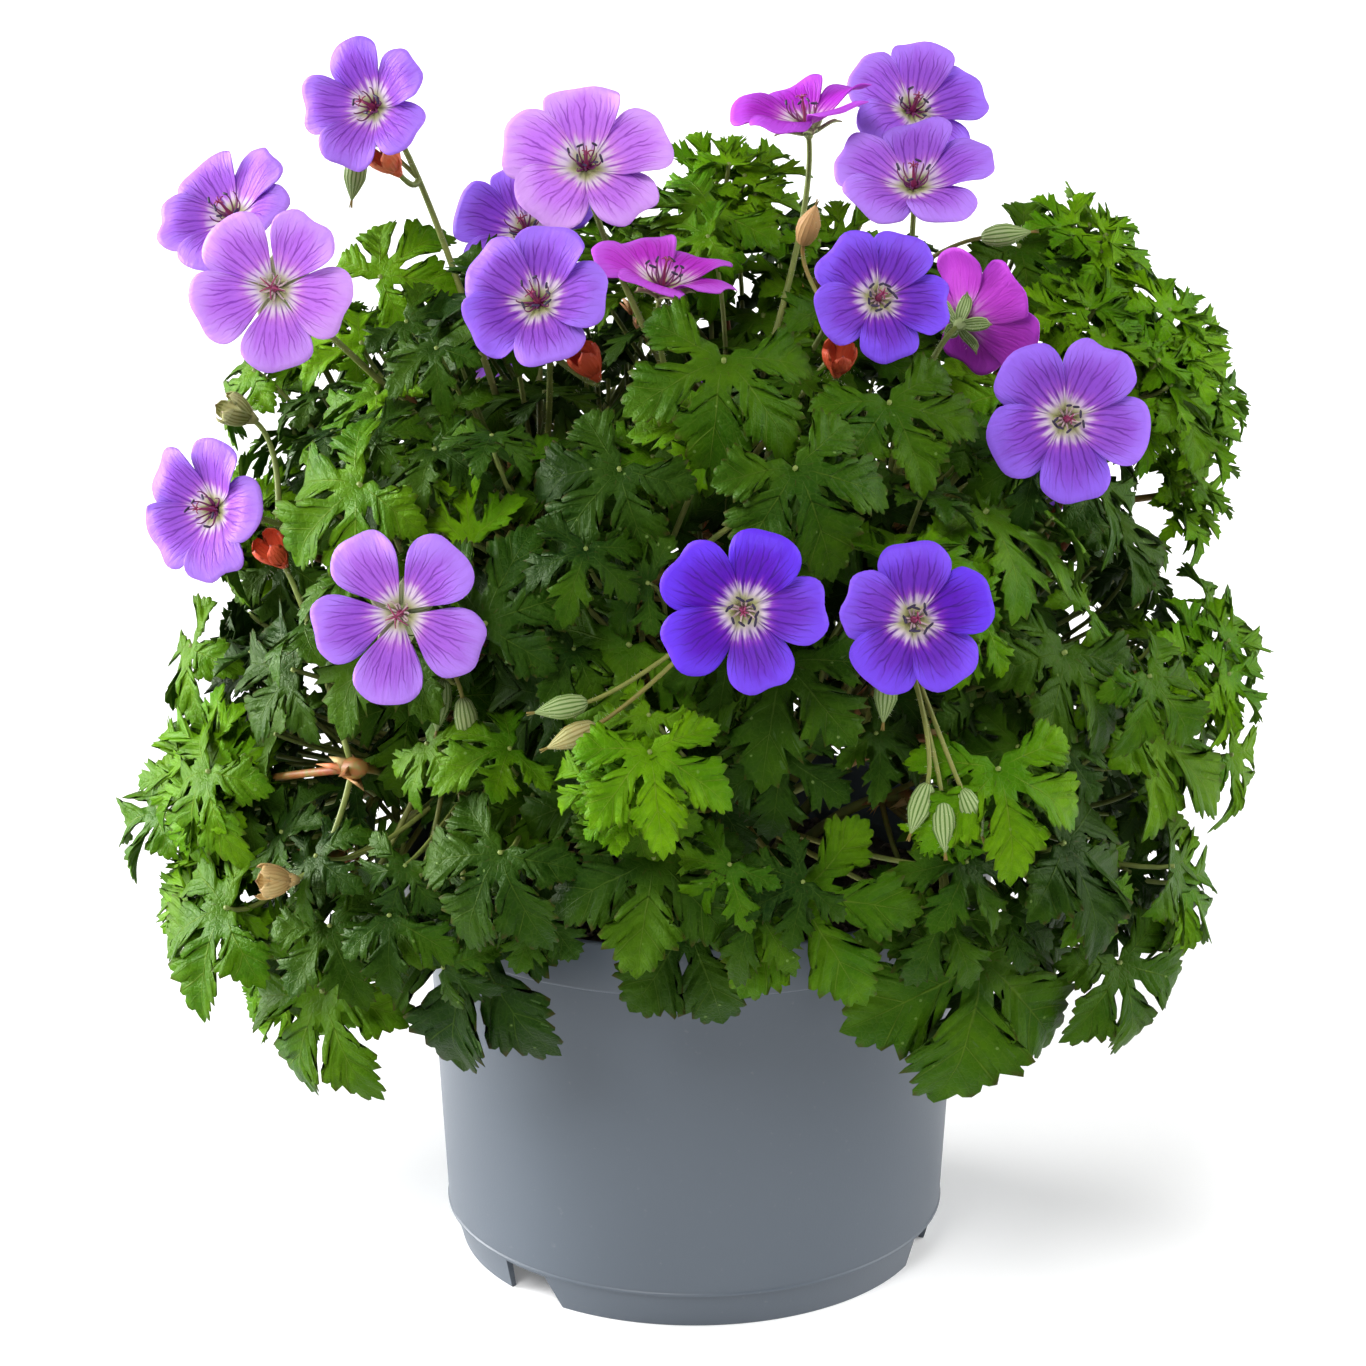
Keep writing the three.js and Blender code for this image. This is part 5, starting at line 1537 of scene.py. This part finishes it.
def make_pot():
    """The pot: a stepped skirt with drainage notches, a fine mould line above it, and holes in the floor."""
    pot = lathe_mesh("pot_fine", pot_profile(), POT["sides"])
    half, flare, top = POT["notch_width"] / 2, POT["notch_flare"], POT["notch_top"]
    outline = [(-half - 0.5, -1), (half + flare, -1), (half, top), (-half, top)]
    cutters = []
    for azimuth in POT["notches"]:
        place = Matrix.Rotation(math.radians(azimuth), 4, "Z")
        radius = POT["foot_radius"]
        cutters.append(prism(outline, -radius - POT["notch_depth"], POT["notch_depth"] - radius, place))
    for k in range(POT["drains"]):
        angle = (k + 0.5) * 360 / POT["drains"]
        round_hole = [(POT["drain_radius"] * math.cos(a), POT["drain_radius"] * math.sin(a))
                      for a in angles_round(24)]
        place = (Matrix.Rotation(math.radians(angle), 4, "Z")
                 @ Matrix.Translation((0, -POT["drain_circle"], POT["skirt_height"]))
                 @ Matrix.Rotation(math.radians(90), 4, "X"))
        cutters.append(prism(round_hole, -4, 4, place))
    cut(pot, cutters)
    pot.data.materials.clear()
    pot.data.materials.append(pot_plastic())
    pot.data.polygons.foreach_set("use_smooth", np.ones(len(pot.data.polygons), bool))
    pot.data.set_sharp_from_angle(angle=math.radians(35))
    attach(pot, "root")
    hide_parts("pot")


def mix_height(x, y):
    wide_x, wide_y, slanting = MIX["widths"]
    lumps = np.sin(x / wide_x) * np.cos(y / wide_y) + np.sin((x + y) / slanting)
    return MIX["top"] + MIX["lump"] * lumps - MIX["dip"] * (np.hypot(x, y) / POT["top_radius"]) ** 2


def make_mix():
    """Potting mix: a filled body with a rough top, and loose crumbs and chips of bark bedded in it."""
    draw = drawer(SEEDS["mix"])
    piece = Piece("potting_mix_fine", {"mix": mix_crumbs()})
    low, edge = POT["skirt_height"] + MIX["gap"], MIX["top"] - MIX["dip"]
    outer, bottom = pot_inner_radius(edge) - MIX["gap"], pot_inner_radius(low) - MIX["gap"]
    rings, sides = MIX["rings"], MIX["sides"]
    angles = angles_round(sides)
    circles = [np.stack([np.cos(angles) * bottom, np.sin(angles) * bottom, np.full(sides, low)], axis=1)]
    for k, radius in enumerate(np.linspace(outer, outer / rings, rings)):
        x, y = np.cos(angles) * radius, np.sin(angles) * radius
        bumps = np.array([draw(-MIX["rough"], MIX["rough"]) for _ in range(sides)])
        z = np.full(sides, edge) if k == 0 else mix_height(x, y) + bumps
        circles.append(np.stack([x, y, z], axis=1))
    points = np.concatenate([*circles, [[0, 0, low], [0, 0, MIX["top"]]]])
    piece.add(points, ring_faces(rings + 1, sides), "mix", tone=0.15)
    for _ in range(MIX["crumbs"]):
        add_crumb(piece, draw)
    piece.make("potting_mix", slot="potting_mix")


def add_crumb(piece, draw):
    """An angular bit, half bedded in the mix."""
    radius = (pot_inner_radius(MIX["top"]) - 3) * math.sqrt(draw(0.001, 1))
    angle = draw(0, 2 * math.pi)
    x, y = radius * math.cos(angle), radius * math.sin(angle)
    size = draw(0.7, 2.6)
    stretch = np.array([draw(0.6, 1.6), draw(0.5, 1.0), draw(0.35, 0.8)]) * size
    corners = np.array([[1, 0, 0], [-1, 0, 0], [0, 1, 0], [0, -1, 0], [0, 0, 1], [0, 0, -1]], float)
    corners *= np.array([[draw(0.75, 1.25)] for _ in range(6)])
    spin = turn_flat(draw(0, 2 * math.pi))
    points = (corners * stretch) @ spin + np.array([x, y, float(mix_height(x, y)) + 0.25 * size])
    faces = np.array([[0, 2, 4], [2, 1, 4], [1, 3, 4], [3, 0, 4], [2, 0, 5], [1, 2, 5], [3, 1, 5], [0, 3, 5]])
    piece.add(points, faces, "mix", tone=draw(0.1, 1.0) ** 1.6)


# ---- The whole plant -----------------------------------------------------------------------------
green_finishes = {
    "leaf": leaf_green(),
    "stalk": stalk_green(),
    "sepal": sepal_green(),
    "hair": plain_finish("stem_hair", (0.55, 0.60, 0.42), (0.72, 0.76, 0.58), 90, 0.5,
                         ((0.7, 0.75, 0.5), 0.4)),
}
flower_finishes = {
    "violet_petal": petal_finish("violet_petal", VIOLET_PETAL),
    "magenta_petal": petal_finish("magenta_petal", MAGENTA_PETAL),
}
heart_finishes = {
    "style": plain_finish("style_crimson", (0.130, 0.008, 0.050), (0.300, 0.020, 0.100), 500, 0.45),
    "filament": plain_finish("filament_pale", (0.420, 0.280, 0.340), (0.640, 0.520, 0.480), 400, 0.5),
    "red_filament": plain_finish("filament_red", (0.090, 0.008, 0.070), (0.220, 0.030, 0.140), 400, 0.5),
    "anther": plain_finish("anther_dark", (0.006, 0.004, 0.022), (0.026, 0.010, 0.050), 900, 0.6),
}
make_pot()
make_mix()
for number, stem in enumerate(grow_plan()):
    make_leafy_stem(stem, number, green_finishes)
for number in range(len(BLOOMS)):
    make_petals(number, flower_finishes)
    make_stamens(number, heart_finishes)

bpy.context.view_layer.update()
